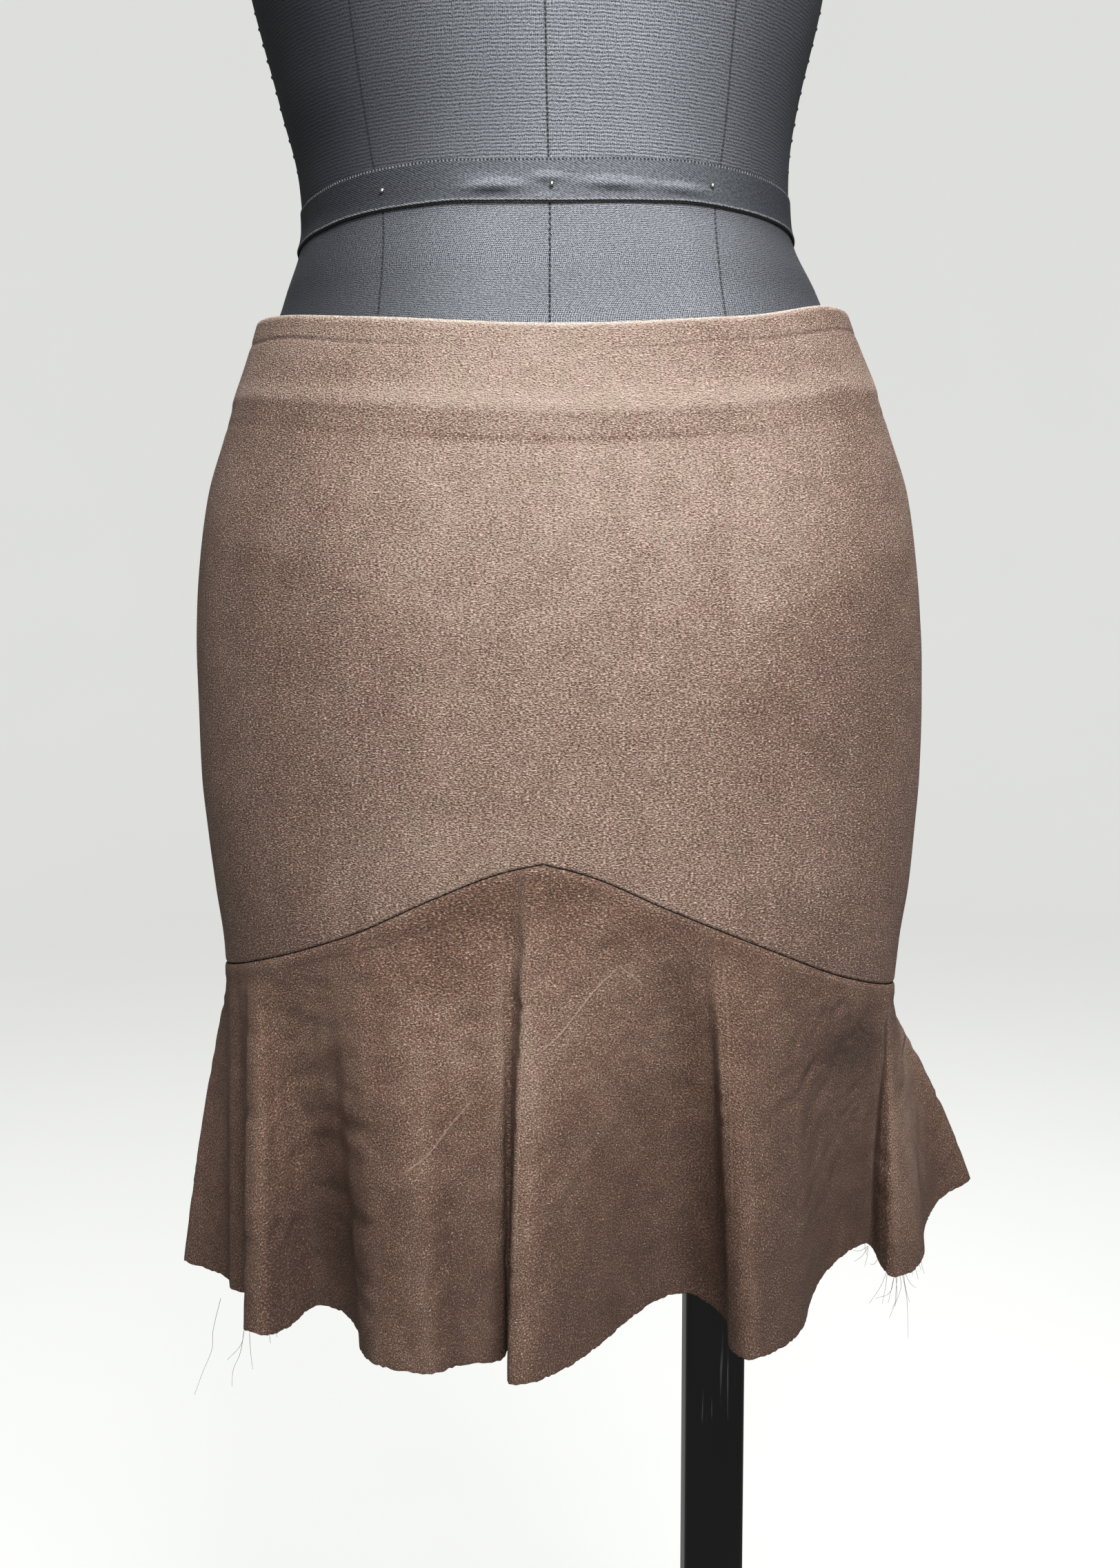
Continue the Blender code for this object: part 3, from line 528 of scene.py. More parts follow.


# Charcoal linen, glazed with size: level picks show as fine ribs above the waist and as a
# close plain weave below it, with slubs, and the glaze gives a broad dull glint. Its threads
# are painted pale as a highlight in front and dark as shade at the sides, and the glaze is
# heavier where the highlight is painted. The threads are as wide as in the photograph,
# which is wider than a fine linen's.
linen, add, shader = new_finish(
    "charcoal_linen_glazed", Roughness=0.8, Coat_Roughness=0.45, Coat_IOR=1.5, Specular_IOR_Level=0.3
)
in_mm = flat_mm(add)
across, upward, _ = add("SeparateXYZ", {0: in_mm}).node.outputs
waver = add("TexNoise", {"Vector": in_mm, "Scale": 0.16, "Detail": 3.0})
bent = add("Math", {0: waver, 1: 1.6, 2: upward}, operation="MULTIPLY_ADD")
waves = []
for measure, pitch in ((bent, RIB_PITCH), (bent, WEAVE_PITCH), (across, WEAVE_PITCH)):
    angle = add("Math", {0: measure, 1: 2.0 * math.pi / pitch}, operation="MULTIPLY")
    waves.append(add("Math", {0: angle}, operation="SINE"))
rib, pick_wave, end_wave = waves
plain = add("Math", {0: pick_wave, 1: end_wave}, operation="ADD")
ribbed = add("Math", {0: end_wave, 1: 0.45, 2: rib}, operation="MULTIPLY_ADD")
above = add("MapRange", {"Value": upward, "From Min": 1028.0, "From Max": 1038.0})
weave = add("Mix", {"Factor": above, "A": plain, "B": ribbed}, data_type="FLOAT")
patchy = add("TexNoise", {"Vector": in_mm, "Scale": 0.5, "Detail": 2.0})
patchy = add("MapRange", {"Value": patchy, "From Min": 0.35, "From Max": 0.65, "To Min": 0.3, "To Max": 1.2})
weave = add("Math", {0: weave, 1: patchy}, operation="MULTIPLY")
long_threads = add("VectorMath", {0: in_mm, 1: (1.3, 2.2, 1.0)}, operation="MULTIPLY")
slubs = add("TexNoise", {"Vector": long_threads, "Scale": 1.0, "Detail": 3.0, "Roughness": 0.7})
height = add("Math", {0: slubs, 1: 9.0, 2: weave}, operation="MULTIPLY_ADD")
lit = add("MapRange", {"Value": height, "From Min": 3.3, "From Max": 6.1})
seam = line_mark(add, "seams", SEAM_BAND, 0.15, 0.75)
stitch_place = add("Math", {0: upward, 1: 1.1}, operation="PINGPONG")
stitched = add("MapRange", {"Value": stitch_place, "From Min": 0.2, "From Max": 0.6, "To Min": 0.45})
seam = add("Math", {0: seam, 1: stitched}, operation="MULTIPLY")
rubbed, cloth = rubbed_cloth(add, lit, LINEN_GAPS, LINEN_THREADS)
tint = add("Mix", {"Factor": seam, "A": cloth, "B": linear("#08090a")}, data_type="RGBA")
sunk = add("Math", {0: seam, 1: -3.0, 2: height}, operation="MULTIPLY_ADD")
relief = add("Bump", {"Strength": 1.0, "Distance": 0.00012, "Height": sunk})
glaze = add("MapRange", {"Value": rubbed, "To Min": 0.12, "To Max": 0.60})
put(shader, {"Base Color": tint, "Normal": relief, "Coat Normal": relief, "Coat Weight": glaze})

cover = shell(
    "linen_cover",
    cover_wall,
    COVER_THICK,
    cover_flat,
    [linen, linen],
    loop=True,
    seams=line_field(cover_wall, form_seams, SEAM_BAND),
    rubbed=rubbed_front(cover_wall),
)
cover_cut, cover_area = cut_size(cover_wall, loop=True)
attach(cover, "root")
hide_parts("form_torso")


# Side lacing of the cover: black waxed cord whipped over both side seams above the waist,
# drawn tight, so that it stands proud as a row of small scallops.
LACING_RADIUS = 0.0009
LACING_PITCH = 0.0074
LACING_REACH = 0.0011
LACING_HEIGHTS = (1.050, 1.372)


def tubes(paths, radius, sides):
    """Round threads along many paths: a circle across each path's direction.

    paths is threads x places x 3. Returns the points and the faces, with both ends capped.
    """
    count, places = paths.shape[:2]
    run = np.gradient(paths, axis=1)
    run /= np.linalg.norm(run, axis=-1, keepdims=True)
    side = np.cross(run, np.array([0.31, 0.84, 0.45]))
    side /= np.linalg.norm(side, axis=-1, keepdims=True)
    up = np.cross(side, run)
    angle = np.arange(sides) * 2.0 * math.pi / sides
    ring = np.cos(angle)[:, None] * side[:, :, None] + np.sin(angle)[:, None] * up[:, :, None]
    points = paths[:, :, None] + ring * np.broadcast_to(radius, (count, places))[..., None, None]
    quads = grid_corners(places, sides, False, True)[2]
    faces = (np.arange(count)[:, None, None] * places * sides + quads).reshape(-1, 4).tolist()
    cap = np.arange(sides)
    starts = np.arange(count)[:, None] * places * sides
    faces += (starts + cap).tolist()
    faces += (starts + (places - 1) * sides + cap[::-1]).tolist()
    return points.reshape(-1, 3), faces


# Waxed linen cord: black with a soft shine from the wax
CORD_TINTS = ("#0f1011", "#2a2b2d")
waxed = grained("waxed_linen_cord_black", (900.0,) * 3, 2.0, CORD_TINTS, 0.4, 0.0003, Roughness=0.42)

laces = []
turns_of_cord = round((LACING_HEIGHTS[1] - LACING_HEIGHTS[0]) / LACING_PITCH)
along = np.linspace(0.0, turns_of_cord, turns_of_cord * 16 + 1)
lace_height = LACING_HEIGHTS[0] + along * LACING_PITCH
wave = along * 2.0 * math.pi
for side in (-1, 1):
    # The widest place of each level, and a smooth line through those places for the seam
    widest = (side * torso_wall[..., 0]).argmax(axis=1)
    outermost = torso_wall[np.arange(len(torso_wall)), widest]
    edge = through(cover_heights[::-1], outermost[::-1, 0], lace_height)
    ridge = through(cover_heights[::-1], outermost[::-1, 1], lace_height)
    line = np.polynomial.Polynomial.fit(lace_height, ridge, 3)(lace_height) + 0.0035 * np.sin(wave)
    out = LACING_REACH * 0.5 * (np.cos(wave) - 1.0) - (line - ridge) ** 2 / 0.16
    laces.append(np.column_stack([edge + side * out, line, lace_height]))
points, faces = tubes(np.array(laces), LACING_RADIUS, 8)
lacing = build("side_lacing", points, faces, [waxed])
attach(lacing, "root")


# Waist tape: a grey twill tape 18 mm wide, pinned round the form as a mark for the waist,
# with a row of stitches near its upper edge. It lies a little loose on the linen.
TAPE_WIDTH = 0.018
TAPE_THICK = 0.0006
TAPE_HEIGHT = 1.0333
TAPE_TILT = 0.018
TAPE_CLEAR = 0.0003
TAPE_ROWS = 15
TAPE_RISES = (
    # x, how far the tape is pulled up there, in front
    (-0.122, -0.0005), (-0.107, 0.0008), (-0.095, 0.0022), (-0.077, 0.003), (-0.053, 0.0031),
    (-0.03, 0.0018), (0, 0.0008), (0.035, 0.0016), (0.058, 0.0027), (0.083, 0.0024), (0.118, 0.001),
)
TAPE_PUCKERS = (
    # x, height, half width, half height, how far out, in front
    (-0.0280, 1.0322, 0.0110, 0.0022, 0.00150),
    (-0.0330, 1.0360, 0.0120, 0.0016, 0.00025),
    (0.0230, 1.0335, 0.0120, 0.0021, 0.00150),
    (0.0520, 1.0335, 0.0100, 0.0020, 0.00090),
    (-0.0050, 1.0355, 0.0060, 0.0016, 0.00130),
    (-0.0060, 1.0270, 0.0040, 0.0014, 0.00030),
)
# Each goes from painted shade to painted highlight
TWILL_THREADS = ("#262a31", "#8d9198")
TWILL_GAPS = ("#0a0b0e", "#2e3136")
# Pitch of the ribs, and the stitches' height above the middle, in millimetres
TWILL_PITCH = 1.05
STITCH_LINE = 8.2

waist_row = torso_wall[int(np.argmin(np.abs(cover_heights - TAPE_HEIGHT)))]
tape_turn = np.linspace(-math.pi, math.pi, COVER_COLUMNS, endpoint=False)
rises = from_table(TAPE_RISES, 1, waist_row[:, 0]) * ramp(waist_row[:, 1], 0.0, -0.03)
tape_middle = TAPE_HEIGHT + TAPE_TILT * waist_row[:, 0] + 0.0003 * np.sin(5.0 * tape_turn + 1.0) + rises
# The shadow gap under its lower edge is drawn as a near-black lip, 1 mm deep
tape_share = np.append(np.linspace(0.5, -0.495, TAPE_ROWS), [-0.505, -0.555])[:, None]
tape_heights = tape_middle + TAPE_WIDTH * tape_share
outline = np.stack(
    [
        through(cover_heights[::-1], torso_wall[::-1, column, :2], tape_heights[:, column])
        for column in range(COVER_COLUMNS)
    ],
    axis=1,
)
tape_wall = stacked(outline[..., 0], outline[..., 1], tape_heights)
# It stands off a little more at its lower edge, where it casts a thin shadow
lift = TAPE_CLEAR + TAPE_THICK + 0.0006 * np.clip(0.5 - tape_share, 0.0, 1.0) ** 4 * (tape_share > -0.5)
lift = lift + 0.0002 * np.sin(9.0 * tape_turn) * tape_share
# Painted highlight in front and painted shade at the sides, as on the linen
tape_rubbed = 0.72 * rubbed_front(tape_wall)
for x, height, half_width, half_height, out in TAPE_PUCKERS:
    pucker = out * hill(tape_wall[..., 0] - x, half_width) * (tape_wall[..., 1] < 0.0)
    upward = (tape_heights - height) / half_height
    lift = lift + pucker * hill(upward, 1.0)
    # Painted highlight on its upper slope, painted shade under it
    slopes = 900.0 * hill(upward - 0.5, 0.5**0.5) - 350.0 * hill(upward + 1.3, 0.5**0.5)
    tape_rubbed = tape_rubbed + pucker * slopes
tape_wall = tape_wall + outward_normals(tape_wall, True) * lift[..., None]
tape_around = arc_across(tape_wall, TAPE_ROWS // 2, loop=True)
tape_around -= tape_around[COVER_COLUMNS // 2]
tape_flat = stacked(tape_around, TAPE_WIDTH * tape_share)

# Cotton twill: fine slanting ribs, short uneven stitches along the upper edge, a pale fuzz
# along the lower one, and a near-black lip of painted shadow under that. Its threads are
# painted pale as a highlight in front and dark as shade at the sides, and its dull glaze is
# heavier where the highlight is painted
twill, add, shader = new_finish(
    "cotton_twill_grey", Roughness=0.8, Coat_Roughness=0.50, Coat_IOR=1.5, Specular_IOR_Level=0.3
)
in_mm = flat_mm(add)
across, upward, _ = add("SeparateXYZ", {0: in_mm}).node.outputs
slanted = add("Math", {0: across, 1: 0.55, 2: upward}, operation="MULTIPLY_ADD")
fibres = add("TexNoise", {"Vector": in_mm, "Scale": 0.9, "Detail": 3.0, "Roughness": 0.7})
slanted = add("Math", {0: fibres, 1: 1.6, 2: slanted}, operation="MULTIPLY_ADD")
rib_angle = add("Math", {0: slanted, 1: 2.0 * math.pi / TWILL_PITCH}, operation="MULTIPLY")
rib = add("Math", {0: rib_angle}, operation="SINE")
height = add("Math", {0: fibres, 1: 9.0, 2: rib}, operation="MULTIPLY_ADD")
lit = add("MapRange", {"Value": height, "From Min": 2.6, "From Max": 6.4})
from_line = add("Math", {0: upward, 1: STITCH_LINE}, operation="SUBTRACT")
from_line = add("Math", {0: from_line}, operation="ABSOLUTE")
# The stitches' line, the fuzz at the lower edge and the lip in its shadow: each fades out
# over a stretch in millimetres
on_line, edge, under = (
    add("MapRange", {"Value": measure, "From Min": first, "From Max": last, "To Min": 1.0, "To Max": 0.0})
    for measure, first, last in ((from_line, 0.25, 0.6), (upward, -8.7, -8.1), (upward, -9.08, -8.92))
)
uneven = add("Math", {0: fibres, 1: 1.8, 2: across}, operation="MULTIPLY_ADD")
stitch_place = add("Math", {0: uneven, 1: 0.85}, operation="PINGPONG")
stitched = add("MapRange", {"Value": stitch_place, "From Min": 0.2, "From Max": 0.6})
stitches = add("Math", {0: on_line, 1: stitched}, operation="MULTIPLY")
rubbed, tint = rubbed_cloth(add, lit, TWILL_GAPS, TWILL_THREADS)
thread = add("Mix", {"Factor": stitched, "A": linear("#72757b"), "B": linear("#101114")}, data_type="RGBA")
fuzz = add("Math", {0: edge, 1: lit}, operation="MULTIPLY")
for share, colour in ((on_line, thread), (fuzz, linear("#a9acb1")), (under, linear("#030304"))):
    tint = add("Mix", {"Factor": share, "A": tint, "B": colour}, data_type="RGBA")
sunk = add("Math", {0: stitches, 1: -4.0, 2: height}, operation="MULTIPLY_ADD")
relief = add("Bump", {"Strength": 1.0, "Distance": 0.00008, "Height": sunk})
glaze = add("MapRange", {"Value": rubbed, "From Min": 0.1, "To Max": 0.50})
put(shader, {"Base Color": tint, "Normal": relief, "Coat Normal": relief, "Coat Weight": glaze})

finishes = [twill, twill]
tape = shell("waist_tape_piece", tape_wall, TAPE_THICK, tape_flat, finishes, True, 0.2, rubbed=tape_rubbed)
tape_cut, tape_area = cut_size(tape_wall, loop=True)
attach(tape, "root")
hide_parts("form_waist_tape")


# Pins: nickelled steel dressmaker's pins, pushed through the tape into the form, of which
# only the small domed heads show.
PIN_RADIUS = 0.0011
PIN_RINGS = 8
PIN_SIDES = 14
PIN_PLACES = (
    # x, height, front
    (-0.0777, 1.0337, True),
    (-0.0035, 1.0320, True),
    (0.0667, 1.0361, True),
    (-0.0700, 1.0330, False),
    (0.0010, 1.0335, False),
    (0.0700, 1.0345, False),
)

# Nickel plate: bright grey with a narrow highlight
nickel, _, _ = new_finish("nickelled_steel", Metallic=1.0, Roughness=0.25, Base_Color=linear("#b9b6ae"))

latitude = np.radians(np.linspace(90.0, -30.0, PIN_RINGS))[:, None]
longitude = np.arange(PIN_SIDES) * 2.0 * math.pi / PIN_SIDES
across = PIN_RADIUS * np.cos(latitude) * np.cos(longitude)
upward = PIN_RADIUS * np.cos(latitude) * np.sin(longitude)
out = 0.0007 + 0.7 * PIN_RADIUS * np.sin(latitude)
vertex = grid_corners(PIN_RINGS, PIN_SIDES, False, True)[2]
middle_row = tape_wall[TAPE_ROWS // 2]
heads, head_faces = [], []
for x, height, front in PIN_PLACES:
    same_side = middle_row[(middle_row[:, 1] < 0.0) == front]
    spot = same_side[np.argmin(np.abs(same_side[:, 0] - x))]
    facing = -1.0 if front else 1.0
    first = len(heads) * PIN_RINGS * PIN_SIDES
    heads.append(stacked(x - facing * across, spot[1] + facing * out, height + upward))
    head_faces += (first + vertex).tolist()
    head_faces.append((first + (PIN_RINGS - 1) * PIN_SIDES + np.arange(PIN_SIDES)[::-1]).tolist())
pins = build("waist_pins", np.array(heads), head_faces, [nickel])
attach(pins, "root")


# Skirt body: brown nubuck, one wide front panel and two back panels, seamed at the sides and
# at the centre back, with a deep facing turned inside the top edge. It is cut close, so it
# follows the form over the hips; the upper middle is painted paler and pinker, partly as
# wear and partly as painted light from above.
LEATHER = 0.0015
SEAM_GAP = 0.0005
SIDE_GAP = 0.00002
EDGE_ROLL = (0.0009, 0.0022)
CELL = 0.0021
# Outer face as level sections, in millimetres
SKIRT_SECTIONS = np.array((
    # height, half_width, front_depth, back_depth, centre_x
    (660, 165.8, 109.2, 121.2, -0.2),
    (692, 168, 109.2, 122.2, 0.8),
    (719, 171.9, 109.2, 123.3, 1),
    (747, 174.8, 109.2, 124.8, 0.6),
    (774, 177, 109.3, 126.2, 0.3),
    (801, 177.6, 109.3, 127.1, 0.2),
    (828, 177.7, 109.2, 127.1, -0.3),
    (855, 176.6, 108.9, 126.4, -0.8),
    (882, 174, 108.5, 124.6, -1),
    (908, 169.9, 107.4, 121.2, -1),
    (934, 161.8, 105.5, 116.2, -1.2),
    (960, 153.2, 103.3, 110, -1.7),
    (986, 144.1, 100.8, 103, -2.7),
    (1008, 136.8, 98.4, 97.2, -3.6),
)) / 1000.0
SKIRT_SQUARENESS = 2.2
TOP_EDGE = (
    # turn, height
    (-180, 1.004), (-135, 0.999), (-90, 0.9905), (-60, 0.9853), (-30, 0.9776), (0, 0.9724),
    (30, 0.9778), (60, 0.9899), (90, 0.9944), (135, 1.001), (180, 1.004),
)
FRONT_APEX_TURN = -1.9
SEAM_LINE = (
    # turn from the apex, front left, front right, back left, back right
    (0.0, 0.7413, 0.7413, 0.7430, 0.7430),
    (5.0, 0.7376, 0.7357, 0.7380, 0.7375),
    (15.0, 0.7258, 0.7212, 0.7255, 0.7240),
    (30.0, 0.7077, 0.7033, 0.7080, 0.7050),
    (50.0, 0.6930, 0.6844, 0.6930, 0.6860),
    (70.0, 0.6840, 0.6743, 0.6840, 0.6750),
    (90.0, 0.6790, 0.6690, 0.6790, 0.6690),
)
FACING_DEPTH = 0.037
FACING_STEP = 0.0008
# Steps down from a cut or folded edge, close together where the leather turns
EDGE_STEPS = np.array([0.0, 0.0003, 0.0008, 0.0015, 0.0025])
# The facing's edge was pressed through twice: a soft step, and a thin line below it
PRESS_LINE_DROP = 0.0125
PRESS_LINE = (
    # x, strength of the line in front
    (-0.16, 0), (-0.1, 0.35), (-0.06, 0.7), (-0.045, 1), (-0.01, 0.9), (0.035, 0.8), (0.07, 0.4),
    (0.11, 0.1), (0.16, 0),
)
TOP_LINE_DROP = 0.0108
TOP_LINE = (
    # turn, strength of the stitched fold's print below the top edge, and of the painted shade in it
    (-180, 0.5), (-110, 0.6), (-90, 0.9), (-55, 1), (-38, 0.7), (-20, 0.3), (-5, 0), (12, 0.25),
    (35, 0.55), (60, 0.75), (90, 0.8), (120, 0.5), (180, 0.5),
)
# Paler and darker places of the body, partly wear and partly painted light: paler in the
# upper middle where the light falls, darker low at the sides in painted shade. They are
# alike in front and behind, and so for every such table
BODY_WEAR_AND_LIGHT = (
    # x, height, half width, half height in millimetres, and how much paler
    (0, 930, 105, 60, 0.26),
    (-10, 962, 60, 20, 0.14),
    (-120, 930, 40, 70, -0.08),
    (-140, 720, 45, 50, -0.12),
    (150, 715, 45, 60, -0.1),
    (100, 910, 40, 70, 0.12),
    (60, 880, 70, 60, 0.1),
    (-60, 860, 55, 50, 0.05),
    (115, 745, 40, 30, 0.18),
    (-95, 735, 50, 30, 0.1),
    (-120, 970, 40, 12, 0.2),
    (115, 972, 30, 12, 0.15),
    (145, 700, 20, 20, 0.12),
)
# Painted shade towards the sides: turn from the middle, and how much darker
BODY_SIDE_SHADE = ((0.0, 25.0, 45.0, 65.0, 90.0), (0.0, 0.04, 0.23, 0.33, 0.12))
SHADE_LINES = (
    # lower edges of the paler yoke at the left and right, in front, in millimetres
    ((-172, 889), (-159.8, 886.6), (-126.0, 877.3), (-93.4, 864.4), (-62.8, 850.8), (-36.0, 838.4)),
    ((73.9, 832.5), (92.4, 843.6), (111.5, 855.8), (135.4, 871.6), (159.6, 880.4), (172, 884)),
)
# Pale, middle and dark
BODY_TINTS = ("#cfb6a8", "#8b6b5c", "#482e24")
LINE_BAND = 0.004
PANELS = (
    # name, first turn, last turn
    ("front", -90.0, 90.0),
    ("back_right", 90.0, 180.0),
    ("back_left", 180.0, 270.0),
)


def section_point(turn, height, outward=0.0):
    """A point of the skirt's level section: a rounded oval with its own front and back
    depths, moved outward."""
    half_width, front, back, centre = (from_table(SKIRT_SECTIONS, column, height) for column in (1, 2, 3, 4))
    angle = np.radians(turn)
    across, along = np.sin(angle), -np.cos(angle)
    power = 2.0 / SKIRT_SQUARENESS
    depth = np.where(along < 0.0, front, back) + outward
    x = centre + (half_width + outward) * np.sign(across) * np.abs(across) ** power
    y = depth * np.sign(along) * np.abs(along) ** power
    return stacked(x, y, height)


def wrapped(turn):
    """A turn brought into -180 to 180 degrees."""
    return (np.asarray(turn, float) + 180.0) % 360.0 - 180.0


def seam_height(turn):
    """Height of the yoke seam, with a sharp apex at the centre front and centre back."""
    turn = wrapped(turn)
    left = turn < FRONT_APEX_TURN
    side = np.where(left, -90.0, 90.0)
    front_share = np.abs(turn - FRONT_APEX_TURN) / np.abs(side - FRONT_APEX_TURN) * 90.0
    back_share = 180.0 - np.abs(turn)
    shares = (front_share, front_share, back_share, back_share)
    heights = [from_table(SEAM_LINE, column, share) for column, share in enumerate(shares, 1)]
    in_front = np.abs(turn) < 90.0
    return np.select([in_front & left, in_front, turn < 0.0], heights[:3], heights[3])


def swell(points, blobs):
    """Sum of soft round hills over the X-Z plane, from a table in millimetres."""
    total = 0.0
    for x, z, half_x, half_z, amount in blobs:
        apart = hill(points[..., 0] * 1000.0 - x, half_x) * hill(points[..., 2] * 1000.0 - z, half_z)
        total = total + amount * apart
    return total


def rolled_in(from_edge, depth=EDGE_ROLL[0], reach=EDGE_ROLL[1]):
    """How far leather dips towards a seam: a quarter round over its last stretch."""
    return depth * (1.0 - np.sqrt(1.0 - ramp(from_edge, reach, 0.0) ** 2 * 0.98))


def close_at_ends(first, last):
    """Places a cell apart from first to last, closer where the leather turns at the ends."""
    count = round((last - first - 2.0 * EDGE_STEPS[-1]) / CELL)
    inside = np.linspace(first + EDGE_STEPS[-1], last - EDGE_STEPS[-1], count + 1)
    return np.concatenate([first + EDGE_STEPS[:-1], inside, (last - EDGE_STEPS[:-1])[::-1]])


def panel_columns(first, last, turns, arcs):
    """A panel's columns between two turns: their arc lengths round the skirt, their turns,
    and their distances from its nearer side edge."""
    first, last = np.interp([first, last], turns, arcs) + np.array([0.5, -0.5]) * SIDE_GAP
    places = close_at_ends(first, last)
    return places, np.interp(places, arcs, turns), np.minimum(places - first, last - places)


# Turns of the body's columns, evenly spaced round the hips
fine_turns = np.linspace(-90.0, 270.0, 3601)
round_hips = arc_across(section_point(fine_turns, 0.83)[None], 0)


def body_wall(first, last):
    """Arc lengths of the columns and rows of points down one body panel, with each point's
    depth below the top edge, height above the yoke seam, and place at the top line.

    Each column follows the section's oval from the top edge to the yoke seam. The facing
    stands behind the leather and prints through it as a low step 37 mm down.
    """
    arcs, turns, from_side = panel_columns(first, last, fine_turns, round_hips)
    top = from_table(TOP_EDGE, 1, wrapped(turns))
    low = seam_height(turns) + SEAM_GAP / 2.0
    rows = [top - drop for drop in (*EDGE_STEPS, *np.arange(0.004, FACING_DEPTH + 0.0160, 0.00125))]
    start, end = rows[-1], low + EDGE_STEPS[-1]
    steps = round(float((start - end).max()) / CELL)
    rows += [start + (end - start) * share for share in np.linspace(0.0, 1.0, steps + 1)[1:]]
    rows += [low + rise for rise in EDGE_STEPS[:-1][::-1]]
    height = np.array(rows)
    drop = top - height
    angle = np.radians(turns)
    # The facing's step: out over 13 mm, then back over 3 mm
    past = drop - (FACING_DEPTH - 0.0005 + 0.0006 * np.sin(angle * 7.0) + 0.0004 * np.sin(angle * 17.0))
    outward = FACING_STEP * hill(past, np.where(past < 0.0, 0.013, 0.0030))
    line_strength = from_table(TOP_LINE, 1, wrapped(turns))
    from_line = drop - (TOP_LINE_DROP + 0.0005 * np.sin(angle * 9.0))
    outward = outward - 0.00045 * line_strength * hill(from_line, 0.0016)
    outward = outward - 0.00025 * hill(past - PRESS_LINE_DROP, 0.0018)
    outward = outward - rolled_in(height - low) - rolled_in(from_side) - rolled_in(drop, 0.0010, 0.0020)
    return arcs, section_point(turns, height, outward), drop, height - low, (from_line, line_strength)


def nubuck(name, tints, mottled, cracked, ripple_size):
    """A nubuck finish, which is the buffed outer face of the hide, dyed brown through.

    The grain shows as wavy level ripples, darker in their low cracks and paler on their crests,
    partly the grain's own colour and partly painted shade and highlight of the relief; the
    crests get a further painted highlight. The nap is a soft fuzz, and the colour drifts in
    faint pink and olive clouds. Given are its pale, middle and dark colours, how strong its
    clouds and its cracks are, and the length and height of the ripples in millimetres, which
    are drawn as wide as the photo shows.
    """
    pale, mid, dark = (linear(code) for code in tints)
    made, add, shader = new_finish(
        name, Sheen_Weight=0.18, Sheen_Roughness=0.5, Sheen_Tint=linear("#e6d3c6"), Specular_IOR_Level=0.25
    )
    in_mm = flat_mm(add)
    drift = add("TexNoise", {"Vector": in_mm, "Scale": 0.14, "Detail": 3.0}, out="Color")
    bent = add("VectorMath", {0: drift, 1: (2.2, 2.2, 0.0), 2: in_mm}, operation="MULTIPLY_ADD")
    size = (1.0 / ripple_size[0], 1.0 / ripple_size[1], 1.0)
    squeezed = add("VectorMath", {0: bent, 1: size}, operation="MULTIPLY")
    ripples = add("TexNoise", {"Vector": squeezed, "Scale": 1.0, "Detail": 2.0, "Distortion": 0.3})
    pebble = add("MapRange", {"Value": ripples, "From Min": 0.30, "From Max": 0.66})
    nap = add("TexNoise", {"Vector": in_mm, "Scale": 1.9, "Detail": 2.0, "Roughness": 0.6})
    clouds = add("TexNoise", {"Vector": in_mm, "Scale": 0.05, "Detail": 5.0, "Roughness": 0.7})
    paleness = add("Attribute", attribute_name="paleness", out="Fac")
    # Paleness, clouds, nap and pebble tops add up to a place between the three colours; the
    # paleness carries wear and painted light, the pebble tops partly painted relief shading
    level = paleness
    for part, amount in ((clouds, mottled), (nap, 0.50), (pebble, cracked)):
        level = add("Math", {0: part, 1: amount, 2: level}, operation="MULTIPLY_ADD")
    level = add("Math", {0: level, 1: 0.325 + 0.5 * (mottled + cracked)}, operation="SUBTRACT")
    tint = dark
    for value, low, high, most, colour in (
        (level, 0.0, 0.5, 1.0, mid),
        (level, 0.5, 1.0, 1.0, pale),
        # Crests get a painted highlight, and the core shows as a thin rim where the top edge is cut
        (ripples, 0.56, 0.70, 0.45, pale),
        (paleness, 1.20, 1.55, 1.0, linear("#ecdccf")),
    ):
        share = add("MapRange", {"Value": value, "From Min": low, "From Max": high, "To Max": most})
        tint = add("Mix", {"Factor": share, "A": tint, "B": colour}, data_type="RGBA")
    patches = add("TexNoise", {"Vector": in_mm, "Scale": 0.07, "Detail": 2.0})
    olive = add("MapRange", {"Value": patches, "From Min": 0.40, "From Max": 0.62})
    clouded = {"Factor": olive, "A": tint, "B": (0.94, 0.97, 0.93, 1.0)}
    tint = add("Mix", clouded, data_type="RGBA", blend_type="MULTIPLY")
    # Thin creases: dark ones sunk in and painted with the shade in them, pale ones rubbed on a ridge
    relief = add("Math", {0: nap, 1: 0.4, 2: pebble}, operation="MULTIPLY_ADD")
    for label, width, colour, rise in (("dark_lines", 1.5, dark, -2.0), ("pale_lines", 0.7, pale, 1.2)):
        mark = line_mark(add, label, LINE_BAND, 0.1, width)
        tint = add("Mix", {"Factor": mark, "A": tint, "B": colour}, data_type="RGBA")
        relief = add("Math", {0: mark, 1: rise, 2: relief}, operation="MULTIPLY_ADD")
    bumps = add("Bump", {"Strength": 1.0, "Distance": 0.0014, "Height": relief})
    rough = add("MapRange", {"Value": pebble, "To Min": 0.80, "To Max": 0.62})
    put(shader, {"Base Color": tint, "Roughness": rough, "Normal": bumps})
    return made


body_leather = nubuck("brown_nubuck_body", BODY_TINTS, mottled=0.50, cracked=1.08, ripple_size=(1.15, 0.56))

# The flesh side: undyed fibres of the hide, matt and woolly
FLESH_TINTS = ("#5d4a3e", "#8b7767")
flesh = grained(
    "suede_flesh_side",
    (900.0,) * 3,
    3.0,
    FLESH_TINTS,
    0.5,
    0.0004,
    flat="flat",
    Roughness=0.95,
    Sheen_Weight=0.3,
)


